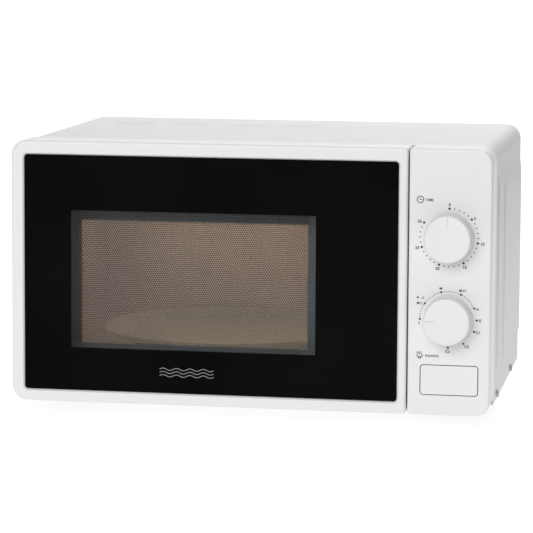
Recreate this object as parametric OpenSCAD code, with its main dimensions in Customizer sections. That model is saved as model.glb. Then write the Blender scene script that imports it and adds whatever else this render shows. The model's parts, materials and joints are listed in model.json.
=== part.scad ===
// Countertop microwave oven with grill, knob timer and push-button door.
// +X is to the viewer's right, the door faces -Y, +Z is up. Sizes are in millimetres.
// The origin is on the ground, under the middle of the overall box.

/* [Case] */
// Overall width
body_w = 440; // [425:1:540]
// Height of the door and the control panel
front_h = 240; // [235:1:300]
// Depth from the door's face to the cabinet's rear edge
body_d = 310; // [305:1:380]
// Height of the feet below the door
feet_h = 15; // [12:1:22]
// Radius of the case's four long corners
corner_r = 14; // [10:1:18]
// Thickness of the painted cabinet sheet
sheet_t = 0.7; // [0.5:0.1:1]
// How far the cabinet's sides stand in from the front's
side_inset = 1; // [0.5:0.1:2]
// How far the side pressings stand out
emboss_h = 2.3; // [0.6:0.1:3]
// Depth of the roof pressings
recess_h = 2.4; // [1:0.1:3]

/* [Door] */
// Width of the control panel
panel_w = 74.4; // [72:0.2:90]
// Gap between door and panel
door_gap = 1.2; // [0.8:0.1:2]
// Depth of the door frame
door_d = 35; // [34:0.5:35]
// Distance from the door's face to the oven's front plate
plate_at = 38.5; // [38.5:0.5:42]
// Radius of the soft front edges
edge_r = 2.6; // [1:0.1:2.8]
// Wall of the plastic mouldings
wall_t = 2.4; // [2:0.1:3]
// Width of the bevel round the glass
seat_bevel_w = 1.6; // [0.8:0.1:2]
// Door glass thickness
glass_t = 3.2; // [2.8:0.1:3.2]
// Width of the window printed clear in the glass
window_w = 226.5; // [180:0.5:240]
// Height of that window
window_h = 126.5; // [100:0.5:140]
// Inset of the hinge pins from the door's left side
hinge_in = 8; // [7:0.5:9]
// Diameter of the hinge pins
hinge_pin_d = 5; // [4:0.5:6]

/* [Oven] */
// Width of the machine bay on the right
bay_w = 113; // [108:1:130]
// Space under the oven floor for the turntable motor
motor_space = 17.2; // [16:0.2:26]
// Space over the oven ceiling for the grill
grill_space = 21.3; // [20:0.1:32]
// Space behind the oven
back_gap = 13; // [11:1:30]
// Turntable plate diameter
plate_d = 245; // [200:1:254]
// Diameter of the roller wheels
wheel_d = 14; // [12:0.5:18]
// Radius of the circle that the wheels run on
wheel_track = 96; // [70:1:100]

/* [Controls] */
// Knob diameter
knob_d = 44; // [36:0.5:46]
// How far the knobs stand out
knob_h = 18; // [14:0.5:24]
// Height of the timer knob above the door's lower edge
timer_up = 160.6; // [158:0.2:170]
// Height of the power knob above the door's lower edge
power_up = 87; // [84:0.2:96]
// Knob shaft diameter
shaft_d = 6; // [5:0.5:8]
// Button opening width
button_w = 52.6; // [46:0.2:56]
// Button opening height
button_h = 27.8; // [24:0.2:32]
// Button travel
button_travel = 4.5; // [3:0.5:5]

/* [Machinery] */
// Cooling fan diameter
fan_d = 92; // [80:1:96]
// Number of fan blades
fan_blades = 5; // [3:1:9]
// Bore for the power cord
cord_bore_d = 7.5; // [6:0.5:9]
// Distance that the rear spacers keep the back from a wall
spacer_l = 12; // [8:1:20]

/* [Hidden] */

$fn = 64;

fit = 0.05;           // radial clearance of a turning fit
gap = 0.3;            // clearance between pieces that only pass each other
eps = 0.01;

// Frame: y of the door's face, so that the overall box is centred on the origin
face_y = -(knob_h + body_d + spacer_l) / 2 + knob_h;
x_left = -body_w / 2;
x_right = body_w / 2;
z_low = feet_h;
z_top = feet_h + front_h;

// Cabinet
cab_lift = 4;
cab_drop = 1;
cab_x = body_w / 2 - side_inset;
cab_z0 = z_low + cab_lift;
cab_z1 = z_top - cab_drop;
lip = 12;
inner_x = cab_x - sheet_t - gap;

// Base plate
base_t = 0.8;
base_z = cab_z0 + 1;
base_top = base_z + base_t;

// Front plate
plate_t = 0.8;
plate_back = plate_at + plate_t;

// Back plate
back_t = 0.8;
back_at = body_d - sheet_t - back_t;

// Oven
oven_t = 0.7;
oven_x0 = x_left + 17;
oven_x1 = x_right - bay_w;
oven_z0 = base_top + motor_space;
oven_z1 = cab_z1 - sheet_t - grill_space;
oven_d1 = body_d - back_gap;
oven_r = 6;
table_x = (oven_x0 + oven_x1) / 2;
table_d = (plate_back + oven_d1) / 2;
bay_x0 = oven_x1 + oven_t;

// Door
door_x1 = x_right - panel_w - door_gap;
frame_left = 12.3;
frame_right = 8.6;
frame_top = 13.1;
frame_low = 11.3;
glass_x0 = x_left + frame_left;
glass_x1 = door_x1 - frame_right;
glass_z0 = z_low + frame_low;
glass_z1 = z_top - frame_top;
glass_r = 3;
glass_set = 0.3;
glass_play = 0.25;
seat_d = glass_set + glass_t;
seat_w = 6;
latch_pad_w = 14;
lip_d = seat_d + 2.5;
gap_r = 3;
window_x0 = glass_x0 + 43;
window_z0 = glass_z0 + 39;
hinge_x = x_left + hinge_in;
hinge_d = plate_at - 13.5;
hinge_boss = 8.5;
hinge_low_z = z_low + 8.5;
arm_t = 2;
arm_w = 8;

// Steel panel inside the door
choke_t = 0.8;
choke_x0 = oven_x0 - 11;
choke_x1 = oven_x1 + 12;
choke_z0 = oven_z0 - 2.5;
choke_z1 = oven_z1 + 2.5;
hinge_top_z = choke_z1 + gap + hinge_boss + gap;
choke_d0 = 12;
choke_d1 = door_d - 1.5;
screen_d = 30;
screen_x0 = window_x0 - 13.5;
screen_x1 = window_x0 + window_w + 8;
screen_z0 = window_z0 - 19;
screen_z1 = window_z0 + window_h + 16;
pane_t = 1;
cover_d0 = choke_d1 + 0.5;
cover_t = 2.8;
view_x0 = window_x0 + 2.5;
view_x1 = window_x0 + window_w - 12;
view_z0 = window_z0 - 1.5;
view_z1 = window_z0 + window_h - 12;

// Latch
latch_t = 4;
latch_x = door_x1 - 16.4;
latch_low_z = z_low + 45;
latch_high_z = z_top - 55;
latch_lift = 4;
spring_seat_z = z_low + 22;
hook_d = 68;
hook_h = 6;
barb = 7;
hook_play = 2;
hook_slot_x0 = latch_x - latch_t / 2 - hook_play;
hook_slot_x1 = latch_x + latch_t / 2 + hook_play + 3;

// Controls
panel_x0 = x_right - panel_w;
panel_back = plate_at - gap;
knob_x = panel_x0 + 36.2;
timer_z = z_low + timer_up;
power_z = z_low + power_up;
face_t = 2.6;
button_x0 = panel_x0 + 11.2;
button_z0 = z_low + 18.2;
button_r = 3.4;
button_gap = 0.8;
shelf_d = 33;
shelf_t = 2.4;
spring_r = 5;
stem_x0 = button_x0 + 5;
stem_w = 10;
stem_z0 = latch_low_z - 10;
stem_h = 6;
stem_end = plate_at + 10.7;
lever_x = panel_x0 - 4.3;
lever_t = 4;
pivot_d = stem_end + 22.8;
pivot_z = stem_z0 - 10;
pivot_r = 3;

// Machine bay
bay_mid = (bay_x0 + inner_x) / 2;
guide_x1 = bay_x0 + 36;
mag_d = 210;
mag_z = oven_z1 - 37;
mag_w = 80;
mag_h = 60;
mag_x1 = guide_x1 + 60;
anode_r = 17;
antenna_r = 7;
fan_z = base_top + 74;
shroud_at = body_d - 48;
fan_hub_r = 12;

// -------------------------------------------------------------- helpers

function at(d) = face_y + d;

// Material between two depths behind the door's face; the outline is drawn in X and Z
module slab(d0, d1) {
    translate([0, at(d1), 0])
        rotate([90, 0, 0])
            linear_extrude(d1 - d0)
                children();
}

// The part of a square corner that a radius takes away
module corner_cut(r) {
    difference() {
        translate([-eps, -eps])
            square(r + eps);
        translate([r, r])
            circle(r);
    }
}

// Rectangle from corner to corner; radii are given lower left, lower right, upper right, upper left
module sheet(x0, z0, x1, z1, r = [0, 0, 0, 0]) {
    difference() {
        translate([x0, z0])
            square([x1 - x0, z1 - z0]);
        if (r[0] > 0) translate([x0, z0]) corner_cut(r[0]);
        if (r[1] > 0) translate([x1, z0]) mirror([1, 0]) corner_cut(r[1]);
        if (r[2] > 0) translate([x1, z1]) rotate(180) corner_cut(r[2]);
        if (r[3] > 0) translate([x0, z1]) mirror([0, 1]) corner_cut(r[3]);
    }
}

module box(x0, d0, z0, x1, d1, z1) {
    translate([x0, at(d0), z0])
        cube([x1 - x0, d1 - d0, z1 - z0]);
}

module rod_x(x0, x1, d, z, r) {
    translate([x0, at(d), z])
        rotate([0, 90, 0])
            cylinder(h = x1 - x0, r = r);
}

module rod_y(x, d0, d1, z, r) {
    translate([x, at(d1), z])
        rotate([90, 0, 0])
            cylinder(h = d1 - d0, r = r);
}

module rod_z(x, d, z0, z1, r) {
    translate([x, at(d), z0])
        cylinder(h = z1 - z0, r = r);
}

// Quarter round of the soft front edge, flat faces inwards
module quarter() {
    intersection() {
        square(edge_r);
        circle(edge_r);
    }
}

// Soft edge along +X, its front at the door's face and its outside up
module edge_run(length) {
    translate([0, at(edge_r), 0])
        rotate([90, 0, 90])
            linear_extrude(length)
                mirror([1, 0])
                    quarter();
}

// Soft edge round an outside corner of radius r, centred on the corner's own centre
module edge_turn(r) {
    translate([0, at(edge_r), 0])
        rotate([90, 0, 0])
            rotate_extrude(angle = 90)
                translate([r - edge_r, 0])
                    quarter();
}

// Moulding with soft front edges; r as for sheet()
module soft_block(x0, z0, x1, z1, r, depth) {
    slab(edge_r, depth)
        sheet(x0, z0, x1, z1, r);
    slab(0, edge_r)
        sheet(x0 + edge_r, z0 + edge_r, x1 - edge_r, z1 - edge_r, [for (k = r) k - edge_r]);
    translate([x0 + r[3], 0, z1 - edge_r])
        edge_run(x1 - x0 - r[3] - r[2]);
    translate([x1 - r[1], 0, z0 + edge_r])
        rotate([0, 180, 0])
            edge_run(x1 - x0 - r[0] - r[1]);
    translate([x1 - edge_r, 0, z1 - r[2]])
        rotate([0, 90, 0])
            edge_run(z1 - z0 - r[1] - r[2]);
    translate([x0 + edge_r, 0, z0 + r[0]])
        rotate([0, -90, 0])
            edge_run(z1 - z0 - r[0] - r[3]);
    translate([x1 - r[2], 0, z1 - r[2]])
        edge_turn(r[2]);
    translate([x0 + r[3], 0, z1 - r[3]])
        rotate([0, -90, 0])
            edge_turn(r[3]);
    translate([x0 + r[0], 0, z0 + r[0]])
        rotate([0, 180, 0])
            edge_turn(r[0]);
    translate([x1 - r[1], 0, z0 + r[1]])
        rotate([0, 90, 0])
            edge_turn(r[1]);
}

// Flat-topped pressing on the XY plane: its foot, its top and its height
module pressing(foot, top, h) {
    polyhedron(
        points = [
            [foot[0], foot[1], 0], [foot[2], foot[1], 0], [foot[2], foot[3], 0], [foot[0], foot[3], 0],
            [top[0], top[1], h], [top[2], top[1], h], [top[2], top[3], h], [top[0], top[3], h]],
        faces = [[0, 1, 2, 3], [7, 6, 5, 4], [0, 4, 5, 1], [1, 5, 6, 2], [2, 6, 7, 3], [3, 7, 4, 0]]);
}

// Slot lying along the first axis
module slot2d(length, width) {
    square([length - width, width], center = true);
    for (s = [-1, 1])
        translate([s * (length - width) / 2, 0])
            circle(width / 2);
}

// Wire coil along +Z
module coil(r, wire_r, length, turns) {
    sides = 8;
    steps = 12 * turns;
    rise = (length - 2 * wire_r) / steps;
    polyhedron(
        points = [for (i = [0:steps]) for (j = [0:sides - 1])
            let (a = 30 * i, b = 360 * j / sides, s = r - wire_r + wire_r * cos(b))
            [s * cos(a), s * sin(a), wire_r + i * rise + wire_r * sin(b)]],
        faces = concat(
            [[for (j = [0:sides - 1]) j]],
            [for (i = [0:steps - 1]) for (j = [0:sides - 1])
                let (k = (j + 1) % sides)
                [i * sides + j, (i + 1) * sides + j, (i + 1) * sides + k, i * sides + k]],
            [[for (j = [sides - 1:-1:0]) steps * sides + j]]));
}

// Pan-head screw, its head towards -Z and its shank along +Z from the seat
module screw(head_r, head_h, shank_r, shank_l) {
    difference() {
        union() {
            translate([0, 0, -head_h])
                cylinder(h = head_h, r1 = head_r * 0.72, r2 = head_r);
            cylinder(h = shank_l, r = shank_r);
        }
        for (a = [0, 90])
            rotate(a)
                translate([-head_r * 0.5, -0.45, -head_h - eps])
                    cube([head_r, 0.9, head_h * 0.6]);
    }
}

// -------------------------------------------------------------- case

side_screw_r = 1.9;
side_screw_z = base_z + 4;
side_screw_at = [74, body_d - 91];
rear_screw_side = [45, 120, 195];
rear_screw_top = [-130, 0, 130];

// U-shaped profile of the cabinet, w half wide, with its top at z
module cabinet_profile(w, z, r) {
    sheet(-w, cab_z0, w, z, [0, 0, r, r]);
}

module side_pressing(grow) {
    h = emboss_h;
    translate([cab_x - sheet_t * grow, at(0), 0])
        rotate([90, 0, 90])
            pressing([66, cab_z0 + 29, body_d - 8, cab_z1 - 27],
                [122, cab_z0 + 33, body_d - 14, cab_z1 - 46], h);
}

module roof_pressing(i) {
    w = 46;
    run = 64;
    slope = 5;
    x0 = x_left + 36 + 56.2 * i;
    d0 = body_d - 124;
    translate([0, 0, cab_z1])
        mirror([0, 0, 1])
            pressing([x0, at(d0), x0 + w, at(d0 + run)],
                [x0 + slope, at(d0 + slope), x0 + w - slope, at(d0 + run - slope)], recess_h);
}

module outer_cabinet() color("whitesmoke") {
    difference() {
        union() {
            slab(plate_at, body_d) difference() {
                cabinet_profile(cab_x, cab_z1, corner_r);
                sheet(-cab_x + sheet_t, cab_z0 - 1, cab_x - sheet_t, cab_z1 - sheet_t,
                    [0, 0, corner_r - sheet_t, corner_r - sheet_t]);
            }
            slab(body_d - sheet_t, body_d) difference() {
                cabinet_profile(cab_x, cab_z1, corner_r);
                sheet(-cab_x + lip, cab_z0 - 1, cab_x - lip, cab_z1 - lip, [0, 0, 4, 4]);
            }
            side_pressing(0);
            mirror([1, 0, 0]) side_pressing(0);
            for (i = [0:3])
                translate([0, 0, -sheet_t]) roof_pressing(i);
        }
        side_pressing(1);
        mirror([1, 0, 0]) side_pressing(1);
        for (i = [0:3])
            translate([0, 0, eps]) roof_pressing(i);
        for (d = side_screw_at)
            rod_x(-cab_x - 2, cab_x + 2, d, side_screw_z, side_screw_r + 0.2);
        for (z = rear_screw_side, s = [-1, 1])
            rod_y(s * (cab_x - lip / 2), body_d - 2, body_d + 1, cab_z0 + z, side_screw_r + 0.2);
        for (x = rear_screw_top)
            rod_y(x, body_d - 2, body_d + 1, cab_z1 - lip / 2, side_screw_r + 0.2);
    }
}

module vent_rows(x, z, columns, rows) {
    for (i = [0:columns - 1], j = [0:rows - 1])
        translate([x + 22 * i, z + 7 * j])
            slot2d(18, 3);
}

gland_x = inner_x - 26;
gland_z = base_top + 190;

module back_plate() color("silver") {
    difference() {
        slab(back_at, back_at + back_t) difference() {
            sheet(-inner_x, base_top + gap, inner_x, cab_z1 - sheet_t - gap,
                [0, 0, corner_r - sheet_t, corner_r - sheet_t]);
            vent_rows(bay_mid - 33, fan_z - 38, 4, 12);
            vent_rows(x_left + 60, base_top + 40, 5, 4);
        }
        rod_y(gland_x, back_at - 1, back_at + 2, gland_z, cord_bore_d / 2 + 3);
        for (z = rear_screw_side, s = [-1, 1])
            rod_y(s * (cab_x - lip / 2), back_at - 1, back_at + 2, cab_z0 + z, side_screw_r);
        for (x = rear_screw_top)
            rod_y(x, back_at - 1, back_at + 2, cab_z1 - lip / 2, side_screw_r);
        for (s = [-1, 1])
            rod_y(s * (cab_x - 60), back_at - 1, back_at + 2, cab_z1 - 40, 4);
    }
}

foot_x = body_w / 2 - 45;
foot_at = [94, body_d - 42];
foot_r = 13;

module base_plate() color("silver") {
    difference() {
        union() {
            box(-inner_x, plate_back, base_z, inner_x, back_at, base_top);
            for (s = [0, 1])
                mirror([s, 0, 0])
                    box(inner_x - base_t, plate_back + 2, base_z, inner_x, back_at, base_z + lip);
        }
        for (d = side_screw_at)
            rod_x(-cab_x, cab_x, d, side_screw_z, side_screw_r);
        for (d = foot_at, s = [-1, 1])
            rod_z(s * foot_x, d, base_z - 1, base_top + 1, 3);
        translate([bay_mid, at(body_d / 2), base_z - 1])
            linear_extrude(base_t + 2)
                for (i = [0:5], s = [-1, 1])
                    translate([s * 47, -70 + 24 * i])
                        rotate(90)
                            slot2d(18, 4);
    }
}

module feet() color("dimgray") {
    for (d = foot_at, s = [-1, 1])
        translate([s * foot_x, at(d), 0])
            rotate_extrude()
                polygon([[0, 0], [foot_r - 2, 0], [foot_r - 1, 1], [foot_r, base_z], [3, base_z],
                    [3, base_top], [4.5, base_top], [3, base_top + 4], [0, base_top + 4]]);
}

module rear_spacers() color("dimgray") {
    for (s = [-1, 1])
        translate([s * (cab_x - 60), at(body_d), cab_z1 - 40])
            rotate([-90, 0, 0])
                rotate_extrude()
                    polygon([[0, -sheet_t - back_t - 3], [3, -sheet_t - back_t - 3], [4, -sheet_t - back_t],
                        [4, -sheet_t], [9, -sheet_t], [8, spacer_l - 1], [7, spacer_l],
                        [0, spacer_l]]);
}

module front_plate() color("gainsboro") {
    slab(plate_at, plate_back) difference() {
        sheet(-inner_x, base_top + gap, inner_x, cab_z1 - sheet_t - gap,
            [0, 0, corner_r - sheet_t, corner_r - sheet_t]);
        sheet(oven_x0, oven_z0, oven_x1, oven_z1, [oven_r, oven_r, oven_r, oven_r]);
        sheet(choke_x1, base_top + 8, x_right - 8, latch_high_z + 14, [4, 4, 4, 4]);
        for (z = [hinge_top_z, hinge_low_z - arm_t])
            sheet(hinge_x - arm_w / 2 - fit, z - fit, hinge_x + arm_w / 2 + fit, z + arm_t + fit);
    }
}

// Pin, arm and flange of one hinge; up says which way the pin points
module hinge(arm_z, up, flange_z0, flange_z1) {
    rod_z(hinge_x, hinge_d, arm_z, arm_z + arm_t, arm_w / 2);
    box(hinge_x - arm_w / 2, hinge_d, arm_z, hinge_x + arm_w / 2, plate_back + 1.2, arm_z + arm_t);
    rod_z(hinge_x, hinge_d, up ? arm_z + arm_t - eps : arm_z - hinge_boss + 0.5,
        up ? arm_z + arm_t + hinge_boss - 0.5 : arm_z + eps, hinge_pin_d / 2);
    difference() {
        box(hinge_x - arm_w / 2, plate_back, flange_z0, oven_x0 + 14, plate_back + 1.2, flange_z1);
        rod_y(oven_x0 + 7, plate_back - 1, plate_back + 3, (flange_z0 + flange_z1) / 2, 2);
    }
}

module upper_hinge() color("darkgray") {
    hinge(hinge_top_z, false, oven_z1 + oven_t + 0.5, hinge_top_z + arm_t + 1);
}

module lower_hinge() color("darkgray") {
    hinge(hinge_low_z - arm_t, true, base_top + gap, oven_z0 - oven_t - 0.4);
}

module side_screws() color("gray") {
    for (d = side_screw_at) {
        translate([cab_x, at(d), side_screw_z])
            rotate([0, -90, 0])
                screw(4, 2.2, side_screw_r, 8);
        translate([-cab_x, at(d), side_screw_z])
            rotate([0, 90, 0])
                screw(4, 2.2, side_screw_r, 8);
    }
}

module rear_screw(x, z) {
    translate([x, at(body_d), z])
        rotate([90, 0, 0])
            screw(4, 2.2, side_screw_r, 8);
}

module rear_screws() color("gray") {
    for (z = rear_screw_side, s = [-1, 1])
        rear_screw(s * (cab_x - lip / 2), cab_z0 + z);
    for (x = rear_screw_top)
        rear_screw(x, cab_z1 - lip / 2);
}

// -------------------------------------------------------------- oven

grill_x0 = oven_x0 + 25;
grill_x1 = oven_x1 - 25;
grill_d0 = table_d - 38;
grill_d1 = table_d + 38;
grill_r = 5.5;
tube_z = oven_z1 + 10;
aperture_d0 = 150;
aperture_w = 40;
aperture_z0 = mag_z - 17;
aperture_z1 = mag_z + 17;
lamp_d = 118;
lamp_z = oven_z1 - 27;

module oven_shell() color("beige") {
    difference() {
        slab(plate_back, oven_d1 + oven_t) difference() {
            sheet(oven_x0 - oven_t, oven_z0 - oven_t, oven_x1 + oven_t, oven_z1 + oven_t,
                [0, 0, oven_r + oven_t, oven_r + oven_t]);
            sheet(oven_x0, oven_z0 - oven_t - 1, oven_x1, oven_z1, [0, 0, oven_r, oven_r]);
        }
        box(grill_x0 + 6, grill_d0 + 6, oven_z1 - 1, grill_x1 - 6, grill_d1 - 6, oven_z1 + 2);
        box(oven_x1 - 1, aperture_d0, aperture_z0, oven_x1 + 2, aperture_d0 + aperture_w, aperture_z1);
        for (i = [-2:2], j = [-2:2])
            rod_x(oven_x1 - 1, oven_x1 + 2, lamp_d + 4.4 * i, lamp_z + 4.4 * j, 1.4);
        for (i = [-4:4], j = [-2:2])
            rod_x(oven_x0 - 2, oven_x0 + 1, table_d + 6 * i, oven_z1 - 50 + 6 * j, 1.6);
    }
}

module oven_floor() color("beige") {
    difference() {
        box(oven_x0, plate_back, oven_z0 - oven_t, oven_x1, oven_d1, oven_z0);
        rod_z(table_x, table_d, oven_z0 - 2, oven_z0 + 1, 6);
    }
}

module oven_back() color("beige") {
    slab(oven_d1, oven_d1 + oven_t)
        sheet(oven_x0, oven_z0 - oven_t, oven_x1, oven_z1, [0, 0, oven_r, oven_r]);
}

guide_d0 = 140;
guide_d1 = 236;
guide_t = 1;

module waveguide() color("silver") {
    difference() {
        box(bay_x0, guide_d0, aperture_z0 - 8, guide_x1, guide_d1, aperture_z1 + 8);
        box(bay_x0 - 1, guide_d0 + guide_t, aperture_z0 - 8 + guide_t,
            guide_x1 - guide_t, guide_d1 - guide_t, aperture_z1 + 8 - guide_t);
        rod_x(guide_x1 - 2, guide_x1 + 1, mag_d, mag_z, antenna_r + 2);
    }
}

module waveguide_cover() color("peru") {
    box(oven_x1 - 0.4, aperture_d0 - 6, aperture_z0 - 6, oven_x1, aperture_d0 + aperture_w + 6,
        aperture_z1 + 6);
}

yoke_t = 1.5;

module magnetron_yoke() color("lightgray") {
    difference() {
        box(guide_x1, mag_d - mag_w / 2, mag_z - mag_h / 2, mag_x1, mag_d + mag_w / 2, mag_z + mag_h / 2);
        box(guide_x1 + yoke_t, mag_d - mag_w / 2 - 1, mag_z - mag_h / 2 + yoke_t, mag_x1 - yoke_t,
            mag_d + mag_w / 2 + 1, mag_z + mag_h / 2 - yoke_t);
        rod_x(guide_x1 - 1, mag_x1 + 1, mag_d, mag_z, antenna_r + 2);
    }
}

anode_x0 = guide_x1 + 14;
anode_x1 = mag_x1 - 14;

module magnetron_anode() color("darkorange") {
    rod_x(anode_x0, anode_x1, mag_d, mag_z, anode_r);
    rod_x(guide_x1 - 22, anode_x0 + eps, mag_d, mag_z, antenna_r);
    rod_x(anode_x1 - eps, mag_x1 + 4, mag_d, mag_z, antenna_r);
}

module magnetron_fins() color("silver") {
    fins = 5;
    for (i = [0:fins - 1])
        difference() {
            x = anode_x0 + 3 + i * (anode_x1 - anode_x0 - 7) / (fins - 1);
            box(x, mag_d - mag_w / 2 + 4, mag_z - mag_h / 2 + 4, x + 1, mag_d + mag_w / 2 - 4,
                mag_z + mag_h / 2 - 4);
            rod_x(x - 1, x + 2, mag_d, mag_z, anode_r);
        }
}

module magnetron_filter_box() color("gainsboro") {
    difference() {
        box(mag_x1, mag_d - 20, mag_z - 16, inner_x - 3, mag_d + 20, mag_z + 16);
        rod_x(mag_x1 - 1, mag_x1 + 5, mag_d, mag_z, antenna_r);
    }
}

module lamp_holder() color("ivory") {
    difference() {
        box(bay_x0, lamp_d - 16, lamp_z - 15, bay_x0 + 30, lamp_d + 16, lamp_z + 15);
        box(bay_x0 - 1, lamp_d - 14, lamp_z - 13, bay_x0 + 28, lamp_d + 14, lamp_z + 13);
    }
    rod_x(bay_x0 + 18, bay_x0 + 28 + eps, lamp_d, lamp_z, 7);
}

module oven_lamp() color("lightyellow") {
    translate([bay_x0 + 18, at(lamp_d), lamp_z])
        rotate([0, -90, 0])
            rotate_extrude()
                polygon([[0, 0], [4.5, 0], [4.5, 3], [6.4, 5.5], [7.4, 8.5], [7.2, 11.5],
                    [5.4, 14], [2.6, 15.3], [0, 15.6]]);
}

module grill_reflector() color("silver") {
    t = 0.6;
    difference() {
        box(grill_x0, grill_d0, oven_z1 + oven_t, grill_x1, grill_d1, oven_z1 + 18);
        box(grill_x0 + t, grill_d0 + t, oven_z1, grill_x1 - t, grill_d1 - t, oven_z1 + 18 - t);
        for (s = [-1, 1])
            rod_x(grill_x0 - 1, grill_x1 + 1, table_d + s * 18, tube_z, grill_r);
    }
}

module grill_tubes() color("mistyrose") {
    for (s = [-1, 1])
        rod_x(grill_x0 - 7, grill_x1 + 7, table_d + s * 18, tube_z, grill_r);
}

module grill_guard() color("silver") {
    r = 1.1;
    z = oven_z1 - r;
    for (s = [-1, 1])
        rod_x(grill_x0 + 3, grill_x1 - 3, table_d + s * 34, z, 0.85 * r);
    for (i = [0:11])
        rod_y(grill_x0 + 10 + i * (grill_x1 - grill_x0 - 20) / 11, grill_d0 + 1, grill_d1 - 1, z, r);
}

// -------------------------------------------------------------- turntable

motor_r = 24.5;
wheel_z = oven_z0 + gap + wheel_d / 2;
table_z = wheel_z + wheel_d / 2 + gap;
wheel_w = 6;
axle_r = 2;
drive_r = 3.5;

module turntable_motor() color("goldenrod") {
    difference() {
        union() {
            rod_z(table_x, table_d, base_top + 1, oven_z0 - oven_t, motor_r);
            box(table_x - 32, table_d - 7, oven_z0 - oven_t - 1.2, table_x + 32, table_d + 7,
                oven_z0 - oven_t);
        }
        rod_z(table_x, table_d, oven_z0 - 9, oven_z0, drive_r + fit);
    }
}

module turntable_coupler() color("ivory") {
    rod_z(table_x, table_d, oven_z0 - 8, oven_z0 + 5 + eps, drive_r);
    rod_z(table_x, table_d, oven_z0 + 5, table_z, 9);
    translate([table_x, at(table_d), oven_z0 + 8])
        for (a = [90, 210, 330])
            rotate(a)
                translate([0, -3.5, 0])
                    cube([19, 7, table_z - oven_z0 - 8]);
}

module turntable_plate() color("lightcyan") {
    r = plate_d / 2;
    translate([table_x, at(table_d), table_z])
        rotate_extrude($fn = 96)
            polygon([[0, 0], [r - 26, 0], [r - 22, 0.8], [r - 2, 9.6], [r, 10.4], [r, 12.2],
                [r - 1, 13], [r - 3, 12.8], [r - 23, 4.8], [r - 27, 4], [0, 4]]);
}

module roller_ring() color("ivory") {
    translate([table_x, at(table_d), 0]) {
        translate([0, 0, wheel_z - 3])
            difference() {
                cylinder(h = 6, r = wheel_track - wheel_w / 2 - 1, $fn = 96);
                translate([0, 0, -1])
                    cylinder(h = 8, r = wheel_track - wheel_w / 2 - 6, $fn = 96);
            }
        for (a = [0, 120, 240])
            rotate(a)
                translate([wheel_track - wheel_w / 2 - 2, 0, wheel_z])
                    rotate([0, 90, 0]) {
                        cylinder(h = wheel_w + 4, r = axle_r);
                        translate([0, 0, wheel_w + 2.4])
                            cylinder(h = 1.4, r = axle_r + 1);
                    }
    }
}

module roller_wheel(a) color("ivory") {
    translate([table_x, at(table_d), wheel_z])
        rotate(a)
            translate([wheel_track - wheel_w / 2, 0, 0])
                rotate([0, 90, 0])
                    difference() {
                        cylinder(h = wheel_w, r = wheel_d / 2);
                        translate([0, 0, -1])
                            cylinder(h = wheel_w + 2, r = axle_r + fit);
                    }
}

// -------------------------------------------------------------- machine bay

core_x0 = bay_mid - 42;
core_x1 = bay_mid + 42;
core_d0 = 118;
core_d1 = 178;
core_z0 = base_top + 2;
core_h = 68;
leg_w = 28;
opening_w = 15;
opening_h = 40;

module transformer_core() color("gray") {
    box(core_x0 - 6, core_d0, base_top, core_x1 + 6, core_d1, core_z0);
    slab(core_d0, core_d1) difference() {
        sheet(core_x0, core_z0, core_x1, core_z0 + core_h);
        for (s = [0, 1])
            translate([bay_mid + (s == 0 ? -leg_w / 2 - opening_w : leg_w / 2), core_z0 + 14])
                square([opening_w, opening_h]);
    }
}

// Coil round the core's middle leg, between two heights
module winding(z0, z1, bulge) {
    inset = 0.5;
    x0 = bay_mid - leg_w / 2;
    translate([0, 0, z0])
        linear_extrude(z1 - z0)
            difference() {
                sheet(x0 - opening_w + inset, at(core_d0 - bulge), x0 + leg_w + opening_w - inset,
                    at(core_d1 + bulge), [12, 12, 12, 12]);
                sheet(x0 - inset, at(core_d0 - inset), x0 + leg_w + inset, at(core_d1 + inset));
            }
}

module transformer_windings() color("sienna") {
    z = core_z0 + 14;
    winding(z + 1, z + 17, 14);
    winding(z + 20, z + opening_h - 1, 17);
}

cap_d = 221;
cap_z0 = base_top + 2;
cap_h = 84;
cap_l = 54;
cap_w = 33;

module hv_capacitor() color("lightsteelblue") {
    translate([bay_mid, at(cap_d), cap_z0]) {
        linear_extrude(cap_h)
            slot2d(cap_l, cap_w);
        for (s = [-1, 1])
            translate([s * 12, 0, cap_h - eps])
                cylinder(h = 8, r = 3);
    }
}

module capacitor_strap() color("darkgray") {
    t = 1;
    translate([bay_mid, at(cap_d), cap_z0 + 30])
        linear_extrude(12)
            difference() {
                slot2d(cap_l + 2 * t, cap_w + 2 * t);
                slot2d(cap_l, cap_w);
            }
    box(bay_mid - 6, cap_d + cap_w / 2, base_top, bay_mid + 6, cap_d + cap_w / 2 + t, cap_z0 + 32);
    box(bay_mid - 6, cap_d + cap_w / 2, base_top, bay_mid + 6, cap_d + cap_w / 2 + 10, base_top + t);
}

module hv_diode() color("black") {
    x = bay_x0 + 12;
    rod_y(x, 195, 217, base_top + 10, 3.2);
    rod_y(x, 185, 195 + eps, base_top + 10, 0.6);
    box(x - 4, 217 - eps, base_top, x + 4, 218, base_top + 14);
    box(x - 4, 217 - eps, base_top, x + 4, 226, base_top + 1);
}

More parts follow.
